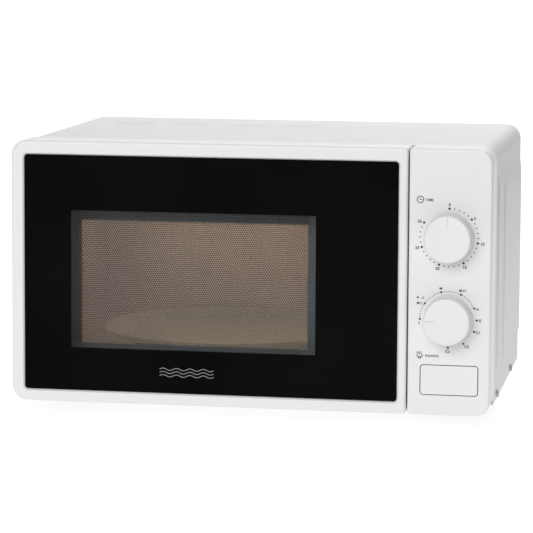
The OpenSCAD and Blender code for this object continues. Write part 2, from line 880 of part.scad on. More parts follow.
module fan_shroud() color("gray") {
    t = 1.2;
    arm_x = fan_d / 2 + 4;
    z1 = fan_z + fan_d / 2 + 12;
    difference() {
        union() {
            box(bay_x0 + 1, shroud_at, base_top, inner_x - 3, shroud_at + t, z1);
            box(bay_x0 + 1, shroud_at - 14, base_top, inner_x - 3, shroud_at + t, base_top + t);
            rod_y(bay_mid, shroud_at - 8, shroud_at + t, fan_z, fan_d / 2 + 4.5);
        }
        rod_y(bay_mid, shroud_at - 9, shroud_at + 3, fan_z, fan_d / 2 + 3);
    }
    for (s = [-1, 1])
        box(bay_mid + s * arm_x - 1.5, shroud_at + t - eps, fan_z - 8, bay_mid + s * arm_x + 1.5,
            shroud_at + 18, fan_z + 8);
    box(bay_mid - arm_x, shroud_at + 16.6, fan_z - 8, bay_mid + arm_x, shroud_at + 18, fan_z - 4);
}

module fan_motor() color("dimgray") {
    d0 = shroud_at + 18;
    difference() {
        union() {
            slab(d0, d0 + 16)
                sheet(bay_mid - 30, fan_z - 26, bay_mid + 30, fan_z + 24, [3, 3, 3, 3]);
            box(bay_mid - 18, d0 - 6, fan_z - 24, bay_mid + 18, d0 + 22, fan_z - 12);
            rod_y(bay_mid, d0 + 16 - eps, d0 + 22, fan_z, 10);
        }
        rod_y(bay_mid, d0 - 1, d0 + 20, fan_z, 2.5 + fit);
    }
}

module fan_blade() color("white") {
    d1 = shroud_at + 9;
    span = fan_d / 2 - fan_hub_r + 2;
    rod_y(bay_mid, d1 - 14, d1, fan_z, fan_hub_r);
    rod_y(bay_mid, d1 - eps, shroud_at + 36, fan_z, 2.5);
    translate([bay_mid, at(d1 - 7), fan_z])
        for (i = [0:fan_blades - 1])
            rotate([0, i * 360 / fan_blades, 0])
                translate([fan_hub_r - 2, 0, 0])
                    rotate([32, 0, 0])
                        translate([0, -0.8, -12])
                            cube([span - 0.5, 1.6, 24]);
}

board_d0 = body_d - 72;
board_z = oven_z1 + 2;

module filter_board() color("darkgreen") {
    x0 = bay_x0 + 12;
    box(x0, board_d0, board_z, x0 + 72, board_d0 + 46, board_z + 1.6);
    rod_z(x0 + 18, board_d0 + 23, board_z + 1.6 - eps, board_z + 12, 11);
    box(x0 + 36, board_d0 + 8, board_z + 1.6 - eps, x0 + 60, board_d0 + 20, board_z + 14);
    rod_x(x0 + 36, x0 + 60, board_d0 + 34, board_z + 5.5, 2.6);
    for (x = [x0 + 36, x0 + 55])
        box(x, board_d0 + 31.4, board_z + 1.6 - eps, x + 5, board_d0 + 36.6, board_z + 5.5);
    for (x = [x0 + 4, x0 + 66])
        rod_z(x, board_d0 + 42, board_z - 12, board_z + eps, 2.5);
    box(x0, board_d0 + 44, board_z - 12, x0 + 72, back_at, board_z - 10.6);
}

module cord_gland() color("black") {
    translate([gland_x, at(back_at + back_t), gland_z])
        rotate([-90, 0, 0])
            difference() {
                union() {
                    translate([0, 0, -back_t])
                        cylinder(h = back_t + eps, r = cord_bore_d / 2 + 3);
                    translate([0, 0, -back_t - 4])
                        cylinder(h = 4, r = cord_bore_d / 2 + 5);
                    cylinder(h = 6, r1 = cord_bore_d / 2 + 5, r2 = cord_bore_d / 2 + 2.5);
                }
                translate([0, 0, -10])
                    cylinder(h = 20, r = cord_bore_d / 2);
            }
}

// -------------------------------------------------------------- controls

button_x1 = button_x0 + button_w;
button_z1 = button_z0 + button_h;
spring_x = button_x1 - 14;
spring_z = (button_z0 + button_z1) / 2;
collar_d = 16;

module control_panel() color("whitesmoke") {
    rim = 1.8;
    difference() {
        union() {
            difference() {
                soft_block(panel_x0, z_low, x_right, z_top, [gap_r, corner_r, corner_r, gap_r], panel_back);
                slab(face_t, panel_back + 1)
                    sheet(panel_x0 + wall_t, z_low + wall_t, x_right - wall_t, z_top - wall_t,
                        [1, corner_r - wall_t, corner_r - wall_t, 1]);
            }
            slab(face_t - eps, collar_d)
                sheet(button_x0 - rim, button_z0 - rim, button_x1 + rim, button_z1 + rim,
                    [button_r + rim, button_r + rim, button_r + rim, button_r + rim]);
            box(panel_x0 + wall_t - eps, shelf_d, button_z0 - 4, x_right - wall_t + eps,
                shelf_d + shelf_t, button_z1 + 3);
        }
        slab(-1, collar_d + 1)
            sheet(button_x0, button_z0, button_x1, button_z1, [button_r, button_r, button_r, button_r]);
        box(stem_x0 - 0.6, shelf_d - 1, stem_z0 - 0.6, stem_x0 + stem_w + 0.6, shelf_d + 4,
            stem_z0 + stem_h + 0.6);
        for (z = [timer_z, power_z])
            rod_y(knob_x, -1, face_t + 1, z, shaft_d / 2 + 1.5);
    }
}

// Geared clockwork or selector body behind the panel, with its bore for the shaft
module control_module(z, half_w, half_h, case_d, can_r, can_d) {
    difference() {
        union() {
            slab(face_t, case_d)
                sheet(knob_x - half_w, z - half_h, knob_x + half_w, z + half_h, [3, 3, 3, 3]);
            rod_y(knob_x, case_d - eps, can_d, z, can_r);
            for (s = [-1, 1])
                box(knob_x + s * 12 - 3, can_d - eps, z - half_h + 6, knob_x + s * 12 + 3, can_d + 0.8,
                    z - half_h + 16);
        }
        rod_y(knob_x, face_t - 1, face_t + 14, z, shaft_d / 2 + fit);
    }
}

module timer_module() color("ivory") {
    control_module(timer_z, 24, 26, 27, 22, 42);
}

module power_switch() color("ivory") {
    control_module(power_z, 22, 22, 25, 17, 34);
}

module control_shaft(z) {
    rod_y(knob_x, -knob_h + 5, face_t + 13, z, shaft_d / 2);
}

module timer_shaft() color("silver") control_shaft(timer_z);

module power_shaft() color("silver") control_shaft(power_z);

// Knob with a slightly dished face and an engraved pointer at the given angle from the top
module knob(z, angle) {
    r = knob_d / 2;
    lift = 0.5;
    top_r = r - 1.4;
    pointer_l = 8;
    translate([knob_x, at(-lift), z])
        rotate([90, 0, 0])
            difference() {
                rotate_extrude($fn = 96)
                    polygon([[0, 0], [r - 0.6, 0], [r, 0.6], [r, 2.4], [r - 0.5, 3],
                        [top_r + 0.35, knob_h - lift - 1.6], [top_r - 0.25, knob_h - lift - 0.5],
                        [top_r - 1.3, knob_h - lift], [top_r - 2.6, knob_h - lift - 0.1],
                        [0, knob_h - lift - 0.5]]);
                translate([0, 0, -1])
                    cylinder(h = knob_h - lift - 4, r = shaft_d / 2);
                rotate(-angle)
                    translate([-0.4, top_r - 1.6 - pointer_l, knob_h - lift - 0.9])
                        cube([0.8, pointer_l, 2]);
            }
}

module timer_knob() color("whitesmoke") knob(timer_z, 0);

module power_knob() color("whitesmoke") knob(power_z, 270);

module release_button() color("whitesmoke") {
    g = button_gap;
    r = button_r - g;
    t = 2;
    depth = 18;
    difference() {
        slab(0, depth)
            sheet(button_x0 + g, button_z0 + g, button_x1 - g, button_z1 - g, [r, r, r, r]);
        slab(t, depth + 1)
            sheet(button_x0 + g + t, button_z0 + g + t, button_x1 - g - t, button_z1 - g - t);
    }
    box(stem_x0, t - eps, stem_z0, stem_x0 + stem_w, stem_end, stem_z0 + stem_h);
    rod_y(spring_x, t - eps, t + 6, spring_z, spring_r - 1.6);
}

module button_spring() color("silver") {
    length = shelf_d - 2 - button_travel - 0.3;
    translate([spring_x, at(shelf_d), spring_z])
        rotate([90, 0, 0])
            coil(spring_r, 0.5, length, 6);
}

module release_lever() color("ivory") {
    x1 = lever_x + lever_t;
    difference() {
        union() {
            rod_x(lever_x, x1, pivot_d, pivot_z, pivot_r + 3);
            box(lever_x, pivot_d - 22, pivot_z + 2, x1, pivot_d + 3, pivot_z + 8);
            box(lever_x, pivot_d - 22, pivot_z + 2, x1, pivot_d - 18, pivot_z + 17);
        }
        rod_x(lever_x - 1, x1 + 1, pivot_d, pivot_z, pivot_r + fit);
    }
    box(lever_x, pivot_d - 22, pivot_z + 10.5, stem_x0 + stem_w + 1, pivot_d - 19, pivot_z + 16);
    box(latch_x - 4, pivot_d - 21, pivot_z + 11, lever_x + eps, pivot_d - 18, pivot_z + 15);
}

module interlock_bracket() color("ivory") {
    x0 = latch_x - 15;
    x1 = lever_x - gap;
    z0 = pivot_z - 14;
    z1 = latch_high_z + 20;
    difference() {
        union() {
            box(x0, plate_back, z0, x1, plate_back + 3, z1);
            box(x0, plate_back, z0, x0 + 3, hook_d + 32, z1);
            box(x1 - 3, plate_back, z0, x1, pivot_d + 10, pivot_z + 8);
            box(x1 - 3, plate_back, pivot_z + 28, x1, plate_back + 24, z1);
        }
        for (z = [latch_low_z, latch_high_z])
            box(hook_slot_x0, plate_back - 1, z - hook_h / 2 - barb - hook_play, hook_slot_x1 + 0.3,
                plate_back + 4, z + hook_h / 2 + latch_lift + hook_play);
        box(panel_x0 - 6 - 1, plate_back - 1, base_top, x1 + 1, plate_back + 3 + 1, pivot_z + 6);
        box(latch_x - 5, plate_back - 1, pivot_z + 8, x1 + 1, plate_back + 16, pivot_z + 28);
    }
    rod_x(x1 - eps, x1 + gap + lever_t + 1.2, pivot_d, pivot_z, pivot_r);
}

module door_switches() color("black") {
    x0 = latch_x - 12;
    for (z = [latch_low_z + 2, latch_high_z + 2, latch_high_z - 22]) {
        box(x0, hook_d + 2.5, z - 8, x0 + 10, hook_d + 30, z + 8);
        box(x0 + 3, hook_d + 0.7, z - 2, x0 + 7, hook_d + 2.5 + eps, z + 2);
    }
}

// -------------------------------------------------------------- door

// Bevel along +X, its foot on the front edge of the glass seat and its outside up
module bevel_run(length) {
    c = seat_bevel_w;
    rotate([90, 0, 90])
        linear_extrude(length)
            polygon([[-0.5, -0.5], [c + 0.5, -0.5], [-0.5, c + 0.5]]);
}

// Bevel all round the glass seat
module seat_bevel() {
    c = seat_bevel_w;
    r = glass_r;
    x0 = glass_x0 - glass_play;
    x1 = glass_x1 + glass_play;
    z0 = glass_z0 - glass_play;
    z1 = glass_z1 + glass_play;
    for (x = [x0 + r, x1 - r], z = [z0 + r, z1 - r])
        translate([x, at(-0.5), z])
            rotate([-90, 0, 0])
                cylinder(h = c + 1, r1 = r + c + 0.5, r2 = r - 0.5);
    translate([x0 + r, at(0), z1])
        bevel_run(x1 - x0 - 2 * r);
    translate([x1 - r, at(0), z0])
        rotate([0, 180, 0])
            bevel_run(x1 - x0 - 2 * r);
    translate([x1, at(0), z1 - r])
        rotate([0, 90, 0])
            bevel_run(z1 - z0 - 2 * r);
    translate([x0, at(0), z0 + r])
        rotate([0, -90, 0])
            bevel_run(z1 - z0 - 2 * r);
}

// Room that the hinge arm sweeps inside the door
module arm_room(z) {
    box(x_left - 1, hinge_d - 6.5, z - gap, hinge_x + arm_w / 2 + 1.5, door_d + 5, z + arm_t + gap);
}

module hinge_block(z0) {
    difference() {
        box(x_left + wall_t - eps, hinge_d - 6.5, z0, hinge_x + 6.5, hinge_d + 6.5, z0 + hinge_boss);
        rod_z(hinge_x, hinge_d, z0 - 1, z0 + hinge_boss + 1, hinge_pin_d / 2 + fit);
    }
}

module door_frame() color("whitesmoke") {
    difference() {
        union() {
            difference() {
                soft_block(x_left, z_low, door_x1, z_top, [corner_r, gap_r, gap_r, corner_r], door_d);
                slab(-1, seat_d)
                    sheet(glass_x0 - glass_play, glass_z0 - glass_play, glass_x1 + glass_play,
                        glass_z1 + glass_play, [glass_r, glass_r, glass_r, glass_r]);
                slab(seat_d - 1, lip_d + 1)
                    sheet(glass_x0 + seat_w, glass_z0 + seat_w, glass_x1 - latch_pad_w, glass_z1 - seat_w,
                        [3, 3, 3, 3]);
                slab(lip_d, door_d + 1)
                    sheet(x_left + wall_t, z_low + wall_t, door_x1 - wall_t, z_top - wall_t,
                        [corner_r - wall_t, 1, 1, corner_r - wall_t]);
            }
            hinge_block(hinge_top_z - gap - hinge_boss);
            hinge_block(hinge_low_z + gap);
            for (s = [-1, 1])
                box(latch_x + s * (latch_t / 2 + gap + 1.5) - 1.5, lip_d - eps, z_low + 95,
                    latch_x + s * (latch_t / 2 + gap + 1.5) + 1.5, 30, z_low + 125);
            box(latch_x - latch_t / 2 - gap - 3, lip_d - eps, spring_seat_z - 3,
                latch_x + latch_t / 2 + gap + 3, 22, spring_seat_z);
        }
        seat_bevel();
        arm_room(hinge_top_z);
        arm_room(hinge_low_z - arm_t);
    }
}

module door_glass() color("black") {
    slab(glass_set, glass_set + glass_t)
        sheet(glass_x0, glass_z0, glass_x1, glass_z1,
            [for (i = [0:3]) glass_r - glass_play]);
}

module door_inner_panel() color("slategray") {
    difference() {
        union() {
            difference() {
                box(choke_x0, choke_d0, choke_z0, choke_x1, choke_d1, choke_z1);
                box(choke_x0 + choke_t, choke_d0 + choke_t, choke_z0 + choke_t, choke_x1 - choke_t,
                    choke_d1 + 1, choke_z1 - choke_t);
            }
            box(screen_x0, choke_d0, screen_z0, screen_x1, screen_d + choke_t, screen_z1);
        }
        box(screen_x0 + choke_t, choke_d0 - 1, screen_z0 + choke_t, screen_x1 - choke_t, screen_d,
            screen_z1 - choke_t);
    }
}

module inner_window() color("lightblue") {
    box(view_x0 - 6, screen_d + choke_t + 0.2, view_z0 - 6, view_x1 + 6, screen_d + choke_t + 0.2 + pane_t,
        view_z1 + 6);
}

module door_choke_cover() color("darkslategray") {
    cover_x0 = x_left + wall_t + gap;
    cover_x1 = door_x1 - wall_t - gap;
    pane_back = screen_d + choke_t + 0.2 + pane_t;
    difference() {
        union() {
            slab(cover_d0, cover_d0 + cover_t)
                sheet(cover_x0, z_low + wall_t + gap, cover_x1, z_top - wall_t - gap,
                    [corner_r - wall_t - gap, 1, 1, corner_r - wall_t - gap]);
            box(view_x0 - 6, pane_back, view_z0 - 6, view_x1 + 6, cover_d0 + eps, view_z1 + 6);
        }
        box(view_x0, pane_back - 1, view_z0, view_x1, cover_d0 + 5, view_z1);
        for (z = [hinge_top_z, hinge_low_z - arm_t])
            box(x_left, hinge_d, z - 1, hinge_x + arm_w / 2 + 2, door_d + 5, z + arm_t + 1);
        for (z = [latch_low_z, latch_high_z])
            box(latch_x - latch_t / 2 - gap, cover_d0 - 1, z - hook_h / 2 - 1,
                latch_x + latch_t / 2 + gap, door_d + 5, z + hook_h / 2 + latch_lift + 1);
    }
}

module door_latch() color("ivory") {
    x0 = latch_x - latch_t / 2;
    x1 = latch_x + latch_t / 2;
    box(x0, 16, latch_low_z - 8, x1, 30, latch_high_z + 8);
    for (z = [latch_low_z, latch_high_z]) {
        box(x0, 30 - eps, z - hook_h / 2, x1, hook_d, z + hook_h / 2);
        slab_x(x0, x1)
            polygon([[at(hook_d - 6), z], [at(hook_d - 6), z - hook_h / 2 - barb],
                [at(hook_d - 4), z - hook_h / 2 - barb], [at(hook_d), z - hook_h / 2]]);
    }
}

// Material between two X values; the outline is drawn in Y and Z
module slab_x(x0, x1) {
    translate([x0, 0, 0])
        rotate([90, 0, 90])
            linear_extrude(x1 - x0)
                children();
}

module latch_spring() color("silver") {
    top = latch_low_z - 8 - gap;
    translate([latch_x, at(19), spring_seat_z])
        coil(3.2, 0.4, top - spring_seat_z, 4);
}

outer_cabinet();
back_plate();
base_plate();
feet();
rear_spacers();
front_plate();
oven_shell();
oven_floor();
oven_back();
waveguide();
waveguide_cover();
magnetron_yoke();
magnetron_fins();
magnetron_anode();
magnetron_filter_box();
transformer_core();
transformer_windings();
hv_capacitor();
capacitor_strap();
hv_diode();
fan_shroud();
fan_motor();
fan_blade();
turntable_motor();
turntable_coupler();
turntable_plate();
roller_ring();
roller_wheel(0);  // roller_wheel_1
roller_wheel(120);  // roller_wheel_2
roller_wheel(240);  // roller_wheel_3
oven_lamp();
lamp_holder();
grill_tubes();
grill_reflector();
grill_guard();
timer_module();
timer_shaft();
timer_knob();
power_switch();
power_shaft();
power_knob();
control_panel();
release_button();
button_spring();
release_lever();
interlock_bracket();
door_switches();
door_frame();
door_glass();
door_inner_panel();
door_choke_cover();
inner_window();
door_latch();
latch_spring();
upper_hinge();
lower_hinge();
filter_board();
cord_gland();
side_screws();
rear_screws();
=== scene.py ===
import json
import math

import bmesh
import bpy
from mathutils import Matrix, Vector


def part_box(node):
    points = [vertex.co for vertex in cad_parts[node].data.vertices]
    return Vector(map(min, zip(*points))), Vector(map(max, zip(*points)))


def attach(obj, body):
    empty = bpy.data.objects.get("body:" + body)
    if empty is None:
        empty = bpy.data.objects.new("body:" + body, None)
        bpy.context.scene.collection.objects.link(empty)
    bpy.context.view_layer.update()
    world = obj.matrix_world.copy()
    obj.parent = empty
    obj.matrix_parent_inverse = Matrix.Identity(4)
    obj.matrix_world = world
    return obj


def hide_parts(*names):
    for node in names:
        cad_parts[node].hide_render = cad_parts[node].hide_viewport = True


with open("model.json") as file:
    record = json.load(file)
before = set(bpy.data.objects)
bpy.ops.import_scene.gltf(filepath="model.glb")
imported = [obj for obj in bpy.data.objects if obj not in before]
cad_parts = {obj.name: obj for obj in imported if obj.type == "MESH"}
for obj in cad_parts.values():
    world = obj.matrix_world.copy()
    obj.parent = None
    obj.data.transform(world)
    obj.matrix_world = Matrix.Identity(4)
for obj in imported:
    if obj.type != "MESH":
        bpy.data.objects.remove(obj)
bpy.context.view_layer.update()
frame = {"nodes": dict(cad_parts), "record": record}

MM = 0.001

door_lo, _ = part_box("door_frame")
glass_lo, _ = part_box("door_glass")
cabinet_lo, cabinet_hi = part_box("outer_cabinet")
pane_lo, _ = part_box("inner_window")
_, oven_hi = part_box("oven_shell")
timer_lo, timer_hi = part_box("timer_knob")
power_lo, power_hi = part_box("power_knob")
lamp_lo, lamp_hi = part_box("oven_lamp")

# Depths are counted from the door's face, in millimetres, as in the CAD source.
FACE_Y = door_lo.y


def at(depth):
    return FACE_Y + depth * MM


# ---------------------------------------------------------------- camera

def set_camera():
    camera = bpy.data.cameras.new("camera")
    camera.sensor_width = 36
    camera.lens = 184.26
    camera.shift_x = 0.0231
    camera.shift_y = -0.1111
    camera.clip_end = 30
    holder = bpy.data.objects.new("camera", camera)
    holder.location = (0.4371, -2.5523, 0.4625)
    turn = Matrix.Rotation(math.radians(10.1925), 3, "Z")
    tilt = Matrix.Rotation(math.radians(90 - 6.1774), 3, "X")
    roll = Matrix.Rotation(math.radians(0.2954), 3, "Z")
    holder.rotation_euler = (turn @ tilt @ roll).to_euler()
    bpy.context.scene.collection.objects.link(holder)
    bpy.context.scene.camera = holder


set_camera()


# ---------------------------------------------------------------- node trees

class Value:
    """A socket in a node tree. Sums written with it add Math nodes."""

    def __init__(self, tree, socket):
        self.tree = tree
        self.socket = socket

    def _math(self, operation, *terms):
        return self.tree.add("ShaderNodeMath", {"operation": operation}, dict(enumerate(terms)))

    def __add__(self, other):
        return self._math("ADD", self, other)

    def __sub__(self, other):
        return self._math("SUBTRACT", self, other)

    def __rsub__(self, other):
        return self._math("SUBTRACT", other, self)

    def __mul__(self, other):
        return self._math("MULTIPLY", self, other)

    def __truediv__(self, other):
        return self._math("DIVIDE", self, other)

    def __mod__(self, other):
        return self._math("FLOORED_MODULO", self, other)

    __radd__ = __add__
    __rmul__ = __mul__

    def least(self, other):
        return self._math("MINIMUM", self, other)

    def sine(self):
        return self._math("SINE", self)


class Tree:
    """A shader or geometry node tree under construction."""

    def __init__(self, tree):
        self.tree = tree

    def add(self, kind, settings=None, inputs=None, output=0):
        node = self.tree.nodes.new(kind)
        for name, value in (settings or {}).items():
            if name == "stops":
                self._stops(node.color_ramp, value)
            else:
                setattr(node, name, value)
        for name, value in (inputs or {}).items():
            if isinstance(value, Value):
                self.tree.links.new(value.socket, node.inputs[name])
            else:
                node.inputs[name].default_value = value
        return Value(self, node.outputs[output]) if node.outputs else None

    @staticmethod
    def _stops(ramp, stops):
        while len(ramp.elements) < len(stops):
            ramp.elements.new(0.5)
        for element, (position, colour) in zip(ramp.elements, stops):
            element.position = position
            element.color = colour

    def twin(self, value, output):
        """Another output of the node that a value comes from."""
        return Value(self, value.socket.node.outputs[output])


def rgba(colour):
    return (*colour, 1.0)


class Finish(Tree):
    """A material. Patterns are laid out on the piece's own coordinates."""

    def __init__(self, name):
        self.material = bpy.data.materials.new(name)
        self.material.use_nodes = True
        super().__init__(self.material.node_tree)
        self.tree.nodes.clear()
        self.place = self.add("ShaderNodeTexCoord", output="Object")

    def noise(self, scale, detail=3.0, roughness=0.5, place=None):
        inputs = {"Vector": place or self.place, "Scale": scale, "Detail": detail, "Roughness": roughness}
        return self.add("ShaderNodeTexNoise", None, inputs)

    def stretched(self, x=1.0, y=1.0, z=1.0):
        return self.add("ShaderNodeMapping", None, {"Vector": self.place, "Scale": (x, y, z)})

    def axes(self):
        x = self.add("ShaderNodeSeparateXYZ", None, {"Vector": self.place})
        return x, self.twin(x, "Y"), self.twin(x, "Z")

    def range(self, value, low, high, from_low=0.3, from_high=0.7):
        inputs = {"Value": value, "From Min": from_low, "From Max": from_high, "To Min": low, "To Max": high}
        return self.add("ShaderNodeMapRange", None, inputs)

    def cells(self, scale, feature="F1", output="Color"):
        inputs = {"Vector": self.place, "Scale": scale}
        return self.add("ShaderNodeTexVoronoi", {"feature": feature}, inputs, output=output)

    def blend(self, factor, first, second):
        """Between two colours."""
        inputs = {"Factor": factor, 6: first, 7: second}
        return self.add("ShaderNodeMix", {"data_type": "RGBA"}, inputs, output=2)

    def bump(self, height, strength, distance):
        inputs = {"Height": height, "Strength": strength, "Distance": distance}
        return self.add("ShaderNodeBump", None, inputs)

    def shader(self, **inputs):
        named = {name.replace("_", " "): value for name, value in inputs.items() if value is not None}
        return self.add("ShaderNodeBsdfPrincipled", None, named)

    def show(self, shader):
        self.add("ShaderNodeOutputMaterial", None, {"Surface": shader})
        return self.material


# ---------------------------------------------------------------- finishes

def moulded(name, colour, roughness, grain=0.0, coat=0.0, shade=0.03, scale=18.0):
    """Moulded plastic: slightly uneven colour and gloss, with an optional fine grain."""
    f = Finish(name)
    cloud = f.noise(scale, 4.0)
    darker = tuple(c * (1 - shade) for c in colour)
    paint = f.blend(f.range(cloud, 0.0, 1.0), rgba(darker), rgba(colour))
    gloss = f.range(f.noise(260.0, 2.0), roughness * 0.9, roughness * 1.12)
    inputs = {"Base_Color": paint, "Roughness": gloss, "Coat_Weight": coat, "Coat_Roughness": 0.08}
    if grain:
        inputs["Normal"] = f.bump(f.noise(2600.0, 2.0), grain, 0.0002)
    return f.show(f.shader(**inputs))


def powder_coat(name, colour, roughness=0.42):
    """Painted sheet: a fine orange-peel and a faint cloudiness."""
    f = Finish(name)
    peel = f.noise(900.0, 3.0, 0.55)
    cloud = f.noise(7.0, 3.0)
    darker = tuple(c * 0.965 for c in colour)
    paint = f.blend(f.range(cloud, 0.0, 1.0), rgba(darker), rgba(colour))
    return f.show(f.shader(Base_Color=paint, Roughness=f.range(peel, roughness * 0.88, roughness * 1.15),
                           Normal=f.bump(peel, 0.05, 0.0003)))


def rolled_metal(name, colour, roughness, along=(1.0, 1.0, 1.0), metallic=1.0, spangle=0.0):
    """Bare or plated sheet: rolling lines along one axis, and an optional zinc spangle."""
    f = Finish(name)
    lines = f.noise(420.0, 3.0, 0.6, f.stretched(*along))
    tint = f.range(lines, 0.0, 1.0)
    if spangle:
        tint = tint * (1 - spangle) + f.cells(140.0) * spangle
    darker = tuple(c * 0.9 for c in colour)
    paint = f.blend(tint, rgba(darker), rgba(colour))
    return f.show(f.shader(Base_Color=paint, Metallic=metallic,
                           Roughness=f.range(lines, roughness * 0.8, roughness * 1.25),
                           Normal=f.bump(lines, 0.04, 0.0002)))


def oven_enamel():
    """Sprayed enamel with small specks."""
    f = Finish("oven enamel")
    specks = f.noise(1500.0, 1.0)
    fleck = f.range(specks, 0.0, 1.0, 0.62, 0.68)
    base = f.blend(f.range(f.noise(9.0), 0.0, 1.0), rgba((0.52, 0.48, 0.45)), rgba((0.58, 0.54, 0.51)))
    paint = f.blend(fleck * 0.6, base, rgba((0.30, 0.28, 0.26)))
    return f.show(f.shader(Base_Color=paint, Roughness=f.range(f.noise(700.0), 0.36, 0.5),
                           Normal=f.bump(specks, 0.05, 0.0003)))


def window_mask(f, x_low, x_high, z_low, z_high, soft):
    """1 inside a rectangle of the X-Z plane, 0 outside it, with edges that soft metres wide."""
    x, _, z = f.axes()
    inside_x = (x - x_low).least(x_high - x)
    inside_z = (z - z_low).least(z_high - z)
    return f.range(inside_x.least(inside_z), 0.0, 1.0, -soft / 2, soft / 2)


def printed_glass(window):
    """Door glass: gloss black print on the inside, left clear over the window."""
    f = Finish("printed door glass")
    smear = f.noise(6.0, 3.0)
    black = f.blend(f.range(smear, 0.0, 1.0), rgba((0.0016, 0.0017, 0.0016)), rgba((0.0035, 0.0037, 0.0033)))
    print_coat = f.shader(Base_Color=black, Roughness=f.range(smear, 0.045, 0.07), IOR=1.5,
                          Specular_IOR_Level=0.02)
    clear = f.add("ShaderNodeBsdfTransparent", None, {"Color": (0.86, 0.87, 0.87, 1.0)})
    shine = f.add("ShaderNodeBsdfGlossy", None, {"Color": (0.9, 0.9, 0.9, 1.0), "Roughness": 0.04})
    edge = f.add("ShaderNodeFresnel", None, {"IOR": 1.45})
    pane = f.add("ShaderNodeMixShader", None, {0: edge * 0.25, 1: clear, 2: shine})
    mask = window_mask(f, *window, soft=0.0008)
    return f.show(f.add("ShaderNodeMixShader", None, {0: mask, 1: print_coat, 2: pane}))


def clear_sheet(name, tint, roughness=0.05, ior=1.45, body=0.0, milk=1.0):
    """Thin clear sheet or pressed glass: see-through, with its own gloss."""
    f = Finish(name)
    haze = f.noise(40.0, 3.0)
    clear = f.add("ShaderNodeBsdfTransparent", None, {"Color": rgba(tint)})
    gloss = f.shader(Base_Color=f.blend(haze, rgba(tuple(c * milk for c in tint)),
                                        rgba(tuple(c * milk * 0.93 for c in tint))),
                     Roughness=f.range(haze, roughness, roughness * 1.6), IOR=ior)
    edge = f.add("ShaderNodeLayerWeight", None, {"Blend": 0.35}, output="Facing")
    share = f.range(edge, body, 0.9, 0.0, 1.0)
    return f.show(f.add("ShaderNodeMixShader", None, {0: share, 1: clear, 2: gloss}))


def lit_glass():
    f = Finish("lamp glass")
    glow = f.blend(f.range(f.noise(90.0), 0.0, 1.0), rgba((1.0, 0.62, 0.30)), rgba((1.0, 0.74, 0.44)))
    return f.show(f.shader(Base_Color=glow, Roughness=0.2, Emission_Color=glow, Emission_Strength=6.0))


def windings():
    """Lacquered copper wire, turn upon turn, with painted shade in the grooves between turns and a painted
    highlight on their crowns.
    """
    f = Finish("copper windings")
    _, _, z = f.axes()
    turn_ridges_and_shade = (z * 5200.0).sine()
    # Painted shade and highlight: the copper is darkened in the grooves between turns and lightened on their
    # crowns; the same sine also drives the real bump.
    copper = f.blend(f.range(turn_ridges_and_shade, 0.0, 1.0, -1.0, 1.0),
                     rgba((0.20, 0.055, 0.022)), rgba((0.62, 0.24, 0.11)))
    return f.show(f.shader(Base_Color=copper, Metallic=0.85, Roughness=f.range(f.noise(200.0), 0.28, 0.4),
                           Normal=f.bump(turn_ridges_and_shade, 0.5, 0.0004)))


def laminations():
    """Stacked electrical steel, its sheets square to the depth."""
    f = Finish("laminated iron")
    _, y, _ = f.axes()
    sheets = (y * 8000.0).sine()
    iron = f.blend(f.range(sheets, 0.0, 1.0, -1.0, 1.0),
                   rgba((0.022, 0.022, 0.024)), rgba((0.085, 0.085, 0.09)))
    return f.show(f.shader(Base_Color=iron, Metallic=0.6, Roughness=f.range(f.noise(150.0), 0.4, 0.6),
                           Normal=f.bump(sheets, 0.35, 0.0003)))


def mica():
    f = Finish("mica sheet")
    flakes = f.cells(420.0)
    tint = f.blend(f.range(f.noise(60.0, 5.0), 0.0, 1.0), rgba((0.25, 0.20, 0.13)), rgba((0.40, 0.34, 0.24)))
    paint = f.blend(0.25, tint, flakes)
    return f.show(f.shader(Base_Color=paint, Roughness=f.range(f.noise(300.0), 0.35, 0.6)))


def circuit_board():
    f = Finish("circuit board")
    tracks = f.cells(190.0, "DISTANCE_TO_EDGE", "Distance")
    lines = f.range(tracks, 1.0, 0.0, 0.02, 0.05)
    paint = f.blend(lines, rgba((0.010, 0.085, 0.032)), rgba((0.035, 0.17, 0.065)))
    return f.show(f.shader(Base_Color=paint, Roughness=f.range(f.noise(400.0), 0.3, 0.45)))


def ink(name, colour):
    """Pad-printed marks."""
    f = Finish(name)
    paler = tuple(c * 1.25 + 0.004 for c in colour)
    paint = f.blend(f.range(f.noise(2500.0), 0.0, 1.0), rgba(colour), rgba(paler))
    return f.show(f.shader(Base_Color=paint, Roughness=f.range(f.noise(900.0), 0.45, 0.6)))


def light_table():
    """White table top, softly lit from below."""
    f = Finish("light table")
    cloud = f.range(f.noise(2.0), 0.0, 1.0)
    white = f.blend(cloud, rgba((0.24, 0.24, 0.24)), rgba((0.25, 0.25, 0.25)))
    glow = f.blend(cloud, rgba((1.0, 1.0, 1.0)), rgba((0.99, 0.99, 0.99)))
    return f.show(f.shader(Base_Color=white, Roughness=f.range(f.noise(5.0), 0.75, 0.8),
                           Specular_IOR_Level=0.1, Emission_Color=glow, Emission_Strength=0.86))


def screen_paint():
    """Dark blue-grey paint on the door's perforated steel."""
    f = Finish("dark screen paint")
    cloud = f.noise(30.0, 4.0)
    paint = f.blend(f.range(cloud, 0.0, 1.0), rgba((0.088, 0.094, 0.104)), rgba((0.104, 0.112, 0.122)))
    return f.show(f.shader(Base_Color=paint, Roughness=f.range(f.noise(500.0), 0.45, 0.6)))


WHITE = (0.74, 0.74, 0.745)
CABINET_WHITE = (0.71, 0.71, 0.715)

# The window printed in the glass: low X, high X, low Z, high Z
WINDOW = (glass_lo.x + 43.0 * MM, glass_lo.x + 269.5 * MM, glass_lo.z + 39.0 * MM, glass_lo.z + 165.5 * MM)

